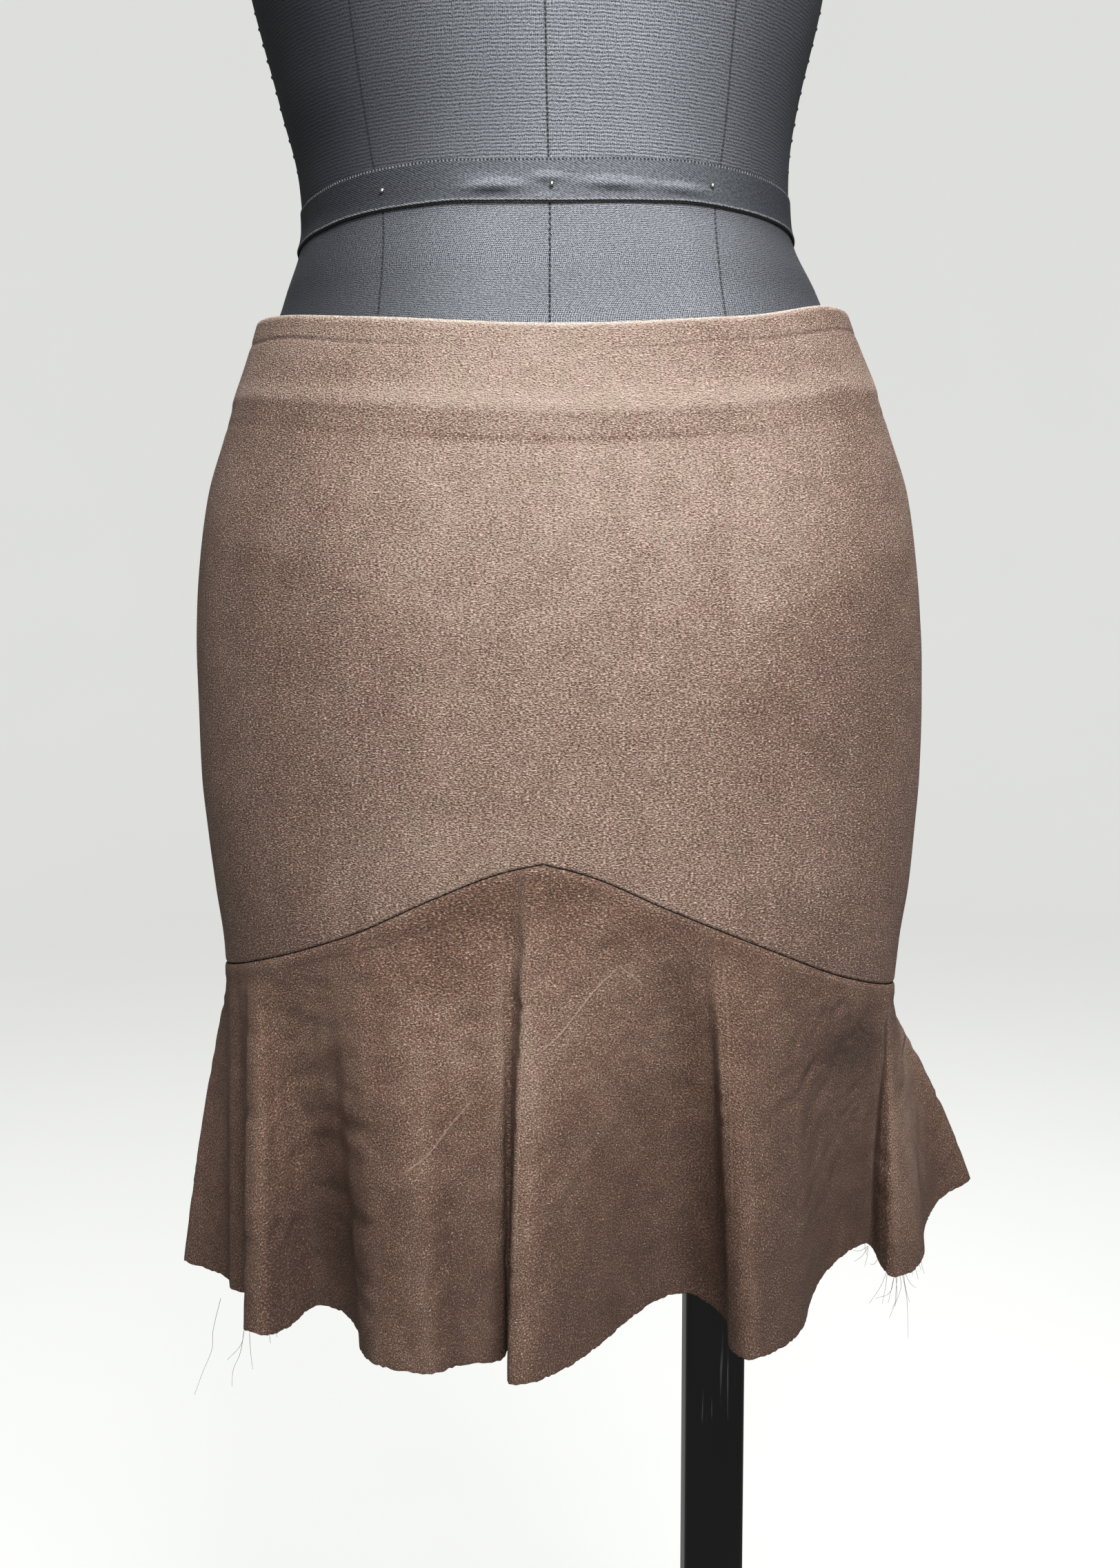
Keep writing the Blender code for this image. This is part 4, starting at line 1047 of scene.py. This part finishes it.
def body_paleness(points, drop):
    """How pale the body is: clouds of wear and painted light, paler above two slanting lines,
    painted shade to the sides, a painted highlight on the ridge over the facing's edge,
    painted shade under it and in the pressed line, and the pale cut top edge."""
    x, z = points[..., 0], points[..., 2]
    in_front = points[..., 1] < 0.0
    side_shade = through(*BODY_SIDE_SHADE, np.degrees(np.arctan2(np.abs(x), np.abs(points[..., 1]))))
    paleness = 0.645 - side_shade + swell(points, BODY_WEAR_AND_LIGHT)
    for path in SHADE_LINES:
        line_x, line_z = np.array(path).T / 1000.0
        inside = (x > line_x[0]) & (x < line_x[-1]) & in_front
        above = ramp(z - np.interp(x, line_x, line_z), -0.005, 0.005)
        paleness = paleness + 0.12 * inside * ramp(np.abs(x), 0.036, 0.086) * above**2 * (3.0 - 2.0 * above)
    strength = from_table(PRESS_LINE, 1, x) * in_front
    past = drop - FACING_DEPTH
    # A painted highlight on the facing's ridge, then painted shade under its step, below it, and in the
    # pressed line
    for amount, middle, half_width in (
        (0.27, -0.0035, 0.0060),
        (-0.08 - 0.09 * strength, 0.0030, 0.0026),
        (-0.05 - 0.10 * strength, 0.0080, 0.0050),
        (-0.30 * strength, PRESS_LINE_DROP, 0.0016),
    ):
        paleness = paleness + amount * hill(past - middle, half_width)
    return paleness + 0.90 * hill(drop, 0.0016)


for label, first, last in PANELS:
    arcs, wall, drop, rise, top_line = body_wall(first, last)
    from_front = arcs - np.interp(0.0, fine_turns, round_hips)
    piece = shell(
        f"{label}_body_panel",
        wall,
        LEATHER + 0.0009 * ramp(drop, FACING_DEPTH + 0.0015, FACING_DEPTH - 0.0015),
        stacked(from_front, wall[..., 2]),
        [body_leather, flesh],
        bulge=0.2,
        paleness=body_paleness(wall, drop),
        dark_lines=encoded(top_line[0], 0.5 * top_line[1], LINE_BAND),
        pale_lines=encoded(rise - 0.0012, 0.12, LINE_BAND),
    )
    cut, area = cut_size(wall)
    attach(piece, "root")
    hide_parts(f"skirt_{label}")


# Flounce: three curved panels of the same nubuck, cut as parts of a ring so that the short
# edge fits the V of the yoke seam and the long hem falls in flutes. The hem is left raw.
HEM_LEVEL = 0.525
FLOUNCE_FOLDS = (
    # turn at the seam, x and y at the hem in millimetres
    # left flute
    (-94, -180, 4), (-87, -190, -15), (-81, -175.5, -24),
    # left step
    (-76, -164, -34), (-72, -158.5, -49), (-66, -148.8, -52.5),
    # side flute
    (-61.5, -141.8, -80), (-59.5, -140.3, -108.5), (-56, -131, -116), (-52, -123.2, -93),
    # wide valley
    (-47.5, -115.5, -68), (-42, -104, -72),
    # left panel
    (-37.5, -92.6, -92), (-34, -87.1, -119), (-30, -76.2, -140), (-21.5, -55.2, -147),
    (-16, -44, -131.5),
    # centre valley
    (-7.2, -25.7, -123.5), (-6, -23.1, -112.5),
    # centre flute
    (-5, -21.7, -128), (-4, -21, -154), (-2.6, -15, -154.5), (0.5, 1.2, -134.2), (4.5, 17, -108.5),
    (9, 32.4, -83.5),
    # right valley
    (12.5, 47.1, -67.5), (15.5, 61, -63.5), (18.8, 75.7, -83),
    # right panel
    (21, 75.3, -113), (24.5, 82.2, -125.5), (30, 99, -111), (35.5, 111, -90), (41, 118.7, -64),
    # deep valley
    (47, 129, -40), (57, 148.2, -15), (64, 158, -8),
    # right flute
    (68.5, 160.2, -20), (71.5, 164, -32.5), (76, 173, -29), (81, 184.5, -11),
    # right step
    (87, 192.5, 20),
    # right flute at the back
    (96, 209, 50), (103, 227, 60), (110, 201, 76),
    # valley and flute a
    (119, 150, 79), (128, 146.5, 118), (134, 148, 150), (140, 119, 148),
    # valley and flute b
    (148, 85, 114), (158, 70, 150), (164, 53, 176), (170, 29, 154),
    # centre-back valley
    (179.5, 4, 118),
    # valley and flute c
    (187, -15, 148), (193, -37, 173), (199, -56, 148), (207, -78, 113),
    # valley and flute d
    (216, -102, 140), (222, -129, 156), (228, -137, 126), (237, -141, 87),
    # flute e
    (246, -178, 90), (252, -206, 80), (258, -193, 48),
)
FLARE_START = 0.06
FLARE_BOW = 0.30
FLOUNCE_GRAIN_SWEEP = 2.4
# Pale, middle and dark
FLOUNCE_TINTS = ("#bfa595", "#805d4b", "#462b21")
FRONT_CREASES = (
    # height in mm, half width in mm, path of x and height in mm
    (0.7, 3.0, ((-12.5, 731), (-13.1, 718.8), (-11.9, 707.4), (-14.0, 690))),
    (-0.6, 3.5, ((-8, 728), (-5, 705), (-8, 670), (-12, 640))),
    (0.5, 3.5, ((-123.7, 668.0), (-113, 672), (-102.4, 677.9))),
    (0.5, 3.5, ((-130.5, 658.0), (-112, 663), (-95.4, 670.2))),
    (0.5, 4.0, ((-124.4, 648.1), (-106, 655), (-88.4, 665.6))),
    (-0.5, 4.0, ((-128, 653), (-110, 660), (-93, 668))),
    (-0.5, 4.0, ((-122, 640), (-105, 646), (-90, 655))),
    (0.4, 4.0, ((-118, 612), (-104, 622), (-92, 636))),
    (-0.4, 4.5, ((-128, 590), (-112, 600), (-98, 616))),
    (0.5, 4.5, ((-132, 565), (-118, 577), (-104, 594))),
    (-0.7, 4.0, ((60.1, 690), (59.5, 678), (57.9, 662.9), (58, 645))),
    (0.5, 4.0, ((62.7, 712), (69, 690), (71.4, 668))),
    (-0.5, 4.5, ((-44, 700), (-40, 672), (-42, 640))),
    (0.4, 5.0, ((-66, 702), (-70, 670), (-73, 640))),
    (-0.5, 4.0, ((20, 640), (34, 622), (47, 600))),
    (0.4, 4.0, ((24, 612), (36, 596), (46, 575))),
    (-0.6, 4.5, ((100, 690), (112, 668), (118, 640))),
    (0.5, 4.5, ((112, 690), (126, 672), (136, 645))),
    (-0.7, 4.0, ((150, 668), (140, 655), (130, 646), (120, 640))),
    (0.4, 5.0, ((96, 600), (110, 585), (122, 560))),
    (-0.3, 5.0, ((-70, 600), (-58, 585), (-50, 565))),
    (0.3, 5.0, ((-20, 600), (-8, 585), (4, 565))),
)
BACK_CREASES = (
    # height in mm, half width in mm, path of x and height in mm
    (0.6, 3.5, ((4.5, 731), (5, 715), (8, 695))),
    (-0.6, 4.0, ((-6, 728), (-10, 700), (-14, 670))),
    (0.5, 4.0, ((-96, 672), (-108, 664), (-122, 660))),
    (-0.5, 4.0, ((-92, 660), (-106, 650), (-124, 645))),
    (0.5, 4.0, ((70, 690), (84, 672), (96, 648))),
    (-0.6, 4.0, ((60, 680), (74, 655), (80, 632))),
    (0.5, 4.5, ((120, 660), (134, 640), (140, 612))),
    (-0.5, 4.5, ((-60, 690), (-66, 660), (-62, 630))),
    (0.4, 4.5, ((30, 620), (44, 604), (52, 580))),
    (-0.4, 4.5, ((-90, 610), (-104, 596), (-112, 570))),
    (-0.8, 4.0, ((186, 632), (178, 620), (168, 612))),
)
STORAGE_CREASES = (
    # path of x and height in mm, on the front, and strength
    (((25.9, 696.0), (14.4, 685.2), (0.3, 669.1), (-10.8, 660.7)), True, 0.85),
    (((-37.1, 640.3), (-46.9, 629.4), (-56.6, 618.2), (-69.2, 609.7)), True, 0.60),
    (((25.9, 696.0), (31.1, 691.6), (38.3, 685.4)), True, 0.50),
    (((-11.0, 728.0), (-12.9, 713.1), (-14.7, 684.7), (-16.9, 642.7), (-19.5, 560)), True, 0.22),
    (((71.0, 700), (73.0, 679.7), (74.4, 635.9), (75.8, 575.2)), True, 0.20),
    (((-34, 676), (-50, 660), (-62, 650)), False, 0.35),
    (((40, 640), (58, 628), (66, 610)), False, 0.35),
)
# Creases painted dark with the shade that falls in them
SHADED_CREASES = (
    # path of x and height in mm, on the front, and strength
    (((68.1, 675), (69.5, 632.5), (71.6, 581.3), (73.8, 540)), True, 0.35),
    (((156.7, 660), (156.9, 642.3), (156.6, 612.8), (156.9, 574.3), (159.3, 530.4)), True, 0.85),
    (((138, 662), (142, 655), (150, 650)), True, 0.5),
    (
        ((-141.7, 682.4), (-109.3, 694.6), (-87.8, 700.6), (-57.8, 711.6), (-33.5, 723.0), (-14.0, 727.9)),
        True,
        0.22,
    ),
    (((186, 632), (180, 622), (170, 616)), False, 0.6),
)
# Paler and darker places of the flounce, partly wear and partly painted light: paler high on the flutes
# where the light falls, darker low down in painted shade
FLOUNCE_WEAR_AND_LIGHT = (
    # x, height, half width, half height in millimetres, and how much paler
    (-100, 650, 16, 30, 0.12),
    (-80, 635, 18, 50, -0.14),
    (-55, 655, 35, 45, 0.26),
    (12, 680, 45, 50, 0.26),
    (90, 590, 30, 80, -0.16),
    (-118, 562, 24, 40, -0.24),
    (-15, 600, 12, 80, 0.12),
    (85, 640, 16, 60, 0.1),
    (178, 600, 18, 60, 0.36),
    (66, 640, 8, 50, 0.14),
    (-128, 590, 14, 50, 0.1),
    (60, 560, 40, 30, 0.06),
    (-70, 540, 50, 20, 0.1),
)
STAIN = ((135, 648, 14, 10, -0.75),)
CRUMPLED = (
    # x, height, half width, half height, and how much deeper the soft wrinkles, in millimetres
    (-115, 630, 35, 70, 0.735),
    (-50, 640, 30, 60, 0.945),
    (10, 690, 30, 30, 1.05),
    (115, 650, 30, 50, 0.63),
    (-60, 550, 60, 20, 0.63),
)
CRUMPLE_SEED = 7
CRUMPLE_WAVES = 22
FOLD_STEPS = 24

folds = np.array(FLOUNCE_FOLDS) / (1.0, 1000.0, 1000.0)
fold_shares = np.arange(FOLD_STEPS) / FOLD_STEPS
hem_curve = rounded(folds[:, 1:], fold_shares, loop=True).reshape(-1, 2)
next_turn = np.append(folds[1:, 0], folds[0, 0] + 360.0)
hem_turn = (folds[:, :1] + fold_shares * (next_turn - folds[:, 0])[:, None]).ravel()
hem_arc = arc_across(hem_curve[None], 0, loop=True)
# Two rounds of the hem, so that a panel may cross from the last fold to the first
hem_turn = np.concatenate([hem_turn, hem_turn + 360.0, hem_turn[:1] + 720.0])
hem_places = np.concatenate([hem_curve, hem_curve, hem_curve[:1]])
hem_arcs = np.concatenate([hem_arc[:-1], hem_arc + hem_arc[-1]])


def flounce_wall(first, last):
    """Arc lengths, turns and distances from the side edges of one flounce panel's columns,
    its rows of points, and each point's place down its column and each column's length.

    A column starts on the body's lower edge and swings out to its place on the hem along a
    shallow bow. It keeps its length, so it rises as it swings out.
    """
    arcs, turns, from_side = panel_columns(first, last, hem_turn, hem_arcs)
    hem = stacked(*(np.interp(arcs, hem_arcs, hem_places[:, axis]) for axis in (0, 1)))
    seam = section_point(turns, seam_height(turns) + SEAM_GAP / 2.0)
    seam[:, 2] -= SEAM_GAP
    swing = hem - seam[:, :2]
    length = seam[:, 2] - HEM_LEVEL
    drop = np.sqrt(length**2 - (swing**2).sum(axis=1))
    whole = float(length.mean())
    down = close_at_ends(0.0, whole)[:, None] / whole
    share = ramp(down, FLARE_START, 1.0)
    out = share * (1.0 + FLARE_BOW * (1.0 - share))
    x, y = (seam[:, axis] + swing[:, axis] * out for axis in (0, 1))
    wall = stacked(x, y, seam[:, 2] - drop * down)
    return arcs, turns, from_side, wall, down * length, length


def crumples(flat, lean):
    """Soft wrinkles between -1 and 1: a seeded sum of level waves 9 to 38 mm long, most of
    them across one lean, each bent by a slower one, and sharpened on their ridges."""
    dice = np.random.default_rng(CRUMPLE_SEED)
    total = np.zeros(flat.shape[:-1])
    for length in np.geomspace(0.009, 0.038, CRUMPLE_WAVES):
        angle = lean + dice.normal(0.0, 0.8)
        along = flat[..., 0] * np.cos(angle) + flat[..., 1] * np.sin(angle)
        across = flat[..., 1] * np.cos(angle) - flat[..., 0] * np.sin(angle)
        bent = 1.3 * np.sin(across / length * 2.1 + dice.uniform(0.0, 6.3))
        wave = np.sin(along / length * 2.0 * math.pi + bent + dice.uniform(0.0, 6.3))
        total += (length / 0.02) ** 0.5 * wave
    total = total / total.std()
    return 0.7 - np.sqrt(total**2 + 0.5)


def turned_out(wall, step=3):
    """How sharply the leather turns outwards across its columns, in 1/m: the offset of each
    place from the middle of its neighbours, over the square of their half distance."""
    padded = np.pad(wall, ((0, 0), (step, step), (0, 0)), "edge")
    ahead, behind = padded[:, 2 * step :], padded[:, : -2 * step]
    reach = np.linalg.norm(ahead - behind, axis=-1) / 2.0
    offset = ((wall - (ahead + behind) / 2.0) * outward_normals(wall, False)).sum(axis=-1)
    return 2.0 * offset / np.maximum(reach, 0.002) ** 2


flounce_leather = nubuck(
    "brown_nubuck_flounce", FLOUNCE_TINTS, mottled=0.80, cracked=0.90, ripple_size=(0.85, 0.66)
)
for label, first, last in PANELS:
    arcs, turns, from_side, wall, below, length = flounce_wall(first, last)
    from_hem = length - below
    raised = np.zeros(below.shape)
    for creases, front in ((FRONT_CREASES, True), (BACK_CREASES, False)):
        for tall, half_width, path in creases:
            distance, along = near(wall, path, front)
            taper = np.sin(math.pi * np.clip(along, 0.0, 1.0)) ** 0.5
            raised += tall / 1000.0 * taper * hill(distance * 1000.0, half_width)
    # The seam allowance lies under the flounce's top edge and prints as a low step
    raised += 0.00035 * hill(np.clip(below - 0.0055, 0.0, None), 0.0016)
    raised -= rolled_in(below, 0.0012)
    # Columns are spread on the flat cloth, a part of a ring, as they are a third of the way down
    spread = arc_across(wall, len(wall) // 3)
    sweep = (spread / spread[-1] - 0.5) * FLOUNCE_GRAIN_SWEEP * (1.0 if label == "front" else 0.5)
    radius = (arcs[-1] - arcs[0]) / np.ptp(sweep) - from_hem
    ring_flat = stacked(radius * np.sin(sweep), -radius * np.cos(sweep))
    # The wrinkles are calm at the edges
    level_flat = stacked(wall[..., 0] + 0.5 * wall[..., 1], wall[..., 2])
    calm = ramp(below, 0.0, 0.02) * ramp(from_side, 0.0, 0.01) * np.maximum(ramp(from_hem, 0.0, 0.035), 0.2)
    raised += (0.34 + swell(wall, CRUMPLED)) / 1000.0 * calm * crumples(level_flat, -0.9)
    crest_wear_and_valley_shade = np.clip(turned_out(wall) / 120.0, -0.6, 1.0) * ramp(below, 0.0, 0.01)
    wall = wall + outward_normals(wall, False) * raised[..., None]
    # Both panels of a seam dip the same way, so that it stays closed
    inward = stacked(-np.sin(np.radians(turns)), np.cos(np.radians(turns)), 0.0)
    wall = wall + rolled_in(from_side)[:, None] * inward
    hem_wobble = 0.0005 * np.sin(arcs * 410.0) + 0.0004 * np.sin(arcs * 923.0 + 1.0)
    wall[..., 2] += np.abs(hem_wobble) * ramp(below, 0.0, length) ** 6
    # Worn pale on the outward turns of the flutes, with painted shade in the valleys, painted
    # shade towards the hem and at its cut, and a painted highlight along the rolled top edge
    paleness = 0.325 + swell(wall, FLOUNCE_WEAR_AND_LIGHT) + 0.10 * crest_wear_and_valley_shade + swell(wall, STAIN) * (wall[..., 1] < 0.0)
    paleness = paleness - 0.10 * ramp(wall[..., 2], 0.600, 0.540)
    paleness = paleness + 0.15 * hill(below - 0.0018, 0.0010) - 0.12 * hill(from_hem, 0.0012)
    piece = shell(
        f"{label}_flounce_panel",
        wall,
        LEATHER,
        ring_flat,
        [flounce_leather, flesh],
        bulge=0.05,
        paleness=paleness,
        dark_lines=line_field(wall, SHADED_CREASES, LINE_BAND),
        pale_lines=line_field(wall, STORAGE_CREASES, LINE_BAND),
    )
    if label == "front":
        front_hem = wall[-1]
    cut, area = cut_size(wall)
    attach(piece, "root")
    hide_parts(f"flounce_{label}")


# Zip: a concealed zip at the centre back, of which only the brass slider and its pull tab
# show. Both are die cast and aged, and the tab swings on the slider's bail.

# Aged brass: warm, dull patches mixed at random with brighter, smoother ones
brass, add, shader = new_finish("aged_brass", Metallic=1.0)
tarnish = add("TexNoise", {"Vector": add("TexCoord", out="Object"), "Scale": 420.0, "Detail": 3.0})
tint = add("Mix", {"Factor": tarnish, "A": linear("#6d5a3a"), "B": linear("#b59a68")}, data_type="RGBA")
rough = add("MapRange", {"Value": tarnish, "To Min": 0.5, "To Max": 0.28})
put(shader, {"Base Color": tint, "Roughness": rough})
for label in ("zip_slider", "zip_pull"):
    nodes[label].data.materials[0] = brass


# Loose threads at the hem: the ends of the side seams' polyester sewing thread, ravelled
# out of the raw edge, fine, grey-brown and springy.
THREAD_RADIUS = 0.00011
THREAD_PLACES = 25
THREADS = (
    # path of x and height in mm
    ((-151.7, 545), (-155.3, 529.9), (-155.7, 522.4), (-160.3, 510.8), (-163.8, 501.2)),
    ((-140.3, 534), (-142.1, 525.5), (-148.5, 518.2)),
    ((-140.3, 534), (-142.7, 521.1), (-145.8, 513.8), (-146.6, 506.1)),
    ((-137.2, 533), (-136.8, 523.5), (-136.1, 516.4)),
    ((-126.3, 533), (-125.8, 531.8), (-125.3, 530.2)),
    ((-128.4, 533), (-128.2, 530.2), (-127.9, 528.4)),
    ((154.9, 537), (155.2, 531.0), (156.1, 527.0)),
    ((157.0, 531), (153.0, 528.6), (149.6, 528.8)),
    ((156.8, 530), (153.6, 525.4), (150.1, 523.1)),
    ((157.0, 531), (156.8, 526.5), (155.4, 520.3)),
    ((159.9, 528), (158.0, 525.6), (156.1, 525.8)),
    ((162.6, 527), (159.7, 519.1), (153.9, 509.9)),
    ((162.8, 527), (161.9, 517.0), (160.6, 509.4)),
    ((165.4, 527), (163.0, 517.1), (156.1, 514.2)),
    ((165.4, 527), (163.6, 518.0), (162.3, 511.9)),
    ((165.9, 527), (166.4, 514.2), (164.2, 509.2)),
    ((166.9, 527), (166.3, 517.0), (166.1, 509.7)),
    ((167.8, 527), (168.8, 519.6), (163.5, 503.5)),
    ((169.3, 527), (171.9, 514.2), (172.4, 507.2), (173.1, 493.3)),
    ((170.0, 527), (171.4, 518.0), (173.3, 511.7)),
    ((170.7, 527), (174.0, 520.6), (176.9, 518.4)),
    ((175.0, 532), (175.7, 527.0), (175.7, 523.1)),
    ((176.9, 533), (177.9, 526.0), (179.6, 519.6)),
    ((175.5, 532), (175.2, 529.4), (174.3, 527.0)),
    ((178.6, 534), (179.4, 529.0), (180.8, 524.6)),
    ((179.8, 535), (180.8, 528.5), (182.4, 522.6)),
)
paths = []
for path in THREADS:
    line = np.vstack([rounded(path, np.arange(8) / 8.0).reshape(-1, 2), path[-1]]) / 1000.0
    share = np.linspace(0.0, len(line) - 1.0, THREAD_PLACES)
    x, z = (np.interp(share, np.arange(len(line)), line[:, axis]) for axis in (0, 1))
    nearby = np.argmin(np.hypot(front_hem[:, 0] - x[0], front_hem[:, 2] - z[0]))
    y = front_hem[nearby, 1] + 0.0010 + 0.05 * (z[0] - z) * np.sin(x[0] * 9000.0)
    paths.append(np.column_stack([x, y, z]))
points, faces = tubes(np.array(paths), THREAD_RADIUS * np.linspace(1.0, 0.6, THREAD_PLACES), 5)

# Spun polyester: dark grey-brown, slightly shiny
spun, add, shader = new_finish("spun_polyester_thread", Roughness=0.6, Base_Color=linear("#57504a"))
twist = add("TexNoise", {"Vector": add("TexCoord", out="Object"), "Scale": 1500.0})
put(shader, {"Normal": add("Bump", {"Strength": 0.3, "Distance": 0.0001, "Height": twist})})

threads = build("hem_threads", points, faces, [spun])
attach(threads, "root")


# Studio: a pale floor that sweeps up into a round wall, a soft lamp high in front and one
# level with the skirt, one high behind, and pale air all round. The camera stands where the
# photograph's did.
FLOOR_RADIUS = 4.2
SWEEP_RADIUS = 1.6
WALL_TOP = 5.4
WALL_SIDES = 128
AIR = (0.22, 0.22, 0.215, 1.0)
GLOW = 0.68
CAMERA_PLACE = (0.0, -0.77, 0.833)
CAMERA_PITCH = 85.1
PHOTO_HEIGHT = 2274.0
FOCAL_PIXELS = 2235.0
LAMPS = (
    # name, place, the point it faces, width and height, power
    ("lamp_high_front", (0.22, -0.80, 1.72), (0.0, -0.05, 0.85), (0.50, 0.30), 21.0),
    ("lamp_fill_front", (0.15, -2.00, 0.95), (0.0, 0.0, 0.78), (1.20, 1.00), 22.0),
    ("lamp_high_back", (0.0, 1.5, 2.3), (0.0, 0.0, 0.85), (1.2, 0.8), 28.0),
)

sweep = np.radians(np.linspace(0.0, 90.0, 25))
out_of_sweep = FLOOR_RADIUS + SWEEP_RADIUS * np.sin(sweep)
radii = np.array([0.02, 0.6, 1.5, 2.8, *out_of_sweep, FLOOR_RADIUS + SWEEP_RADIUS])[:, None]
levels = np.array([*np.zeros(4), *(SWEEP_RADIUS * (1.0 - np.cos(sweep))), WALL_TOP])[:, None] - 0.0002
angle = np.arange(WALL_SIDES) * 2.0 * math.pi / WALL_SIDES
points = stacked(radii * np.cos(angle), radii * np.sin(angle), levels)
faces = grid_corners(len(radii), WALL_SIDES, False, True)[2].tolist() + [list(range(WALL_SIDES))]

# Matt emulsion on board: pale and even, with a faint mottle from the roller
emulsion, add, shader = new_finish(
    "matt_emulsion_pale",
    Roughness=0.9,
    Specular_IOR_Level=0.2,
    Emission_Color=linear("#f1f2ef"),
    Emission_Strength=GLOW,
)
mottle = add("TexNoise", {"Vector": add("TexCoord", out="Object"), "Scale": 3.0, "Detail": 2.0})
tint = add("Mix", {"Factor": mottle, "A": linear("#b4b6b4"), "B": linear("#bdbebc")}, data_type="RGBA")
put(shader, {"Base Color": tint})
backdrop = build("studio_backdrop", points, faces, [emulsion])
# It is lit evenly by itself, and throws nothing back on the object
backdrop.visible_diffuse = False
backdrop.visible_glossy = False

world = bpy.data.worlds.new("studio_air")
bpy.context.scene.world = world
world.use_nodes = True
world.node_tree.nodes["Background"].inputs["Color"].default_value = AIR

for name, place, aim, size, power in LAMPS:
    light = bpy.data.lights.new(name, "AREA")
    light.shape = "RECTANGLE"
    light.size, light.size_y = size
    light.energy = power
    lamp = bpy.data.objects.new(name, light)
    lamp.location = place
    x, y, z = np.array(aim) - np.array(place)
    lamp.rotation_euler = (math.atan2(math.hypot(x, y), -z), 0.0, math.atan2(y, x) - math.pi / 2.0)
    lamp.visible_camera = False
    bpy.context.scene.collection.objects.link(lamp)

camera = bpy.data.cameras.new("camera")
camera.sensor_fit = "VERTICAL"
camera.sensor_height = 36.0
camera.lens = FOCAL_PIXELS / PHOTO_HEIGHT * camera.sensor_height
eye = bpy.data.objects.new("camera", camera)
eye.location = CAMERA_PLACE
eye.rotation_euler = (math.radians(CAMERA_PITCH), 0.0, 0.0)
bpy.context.scene.collection.objects.link(eye)
bpy.context.scene.camera = eye
bpy.context.scene.view_settings.view_transform = "Standard"
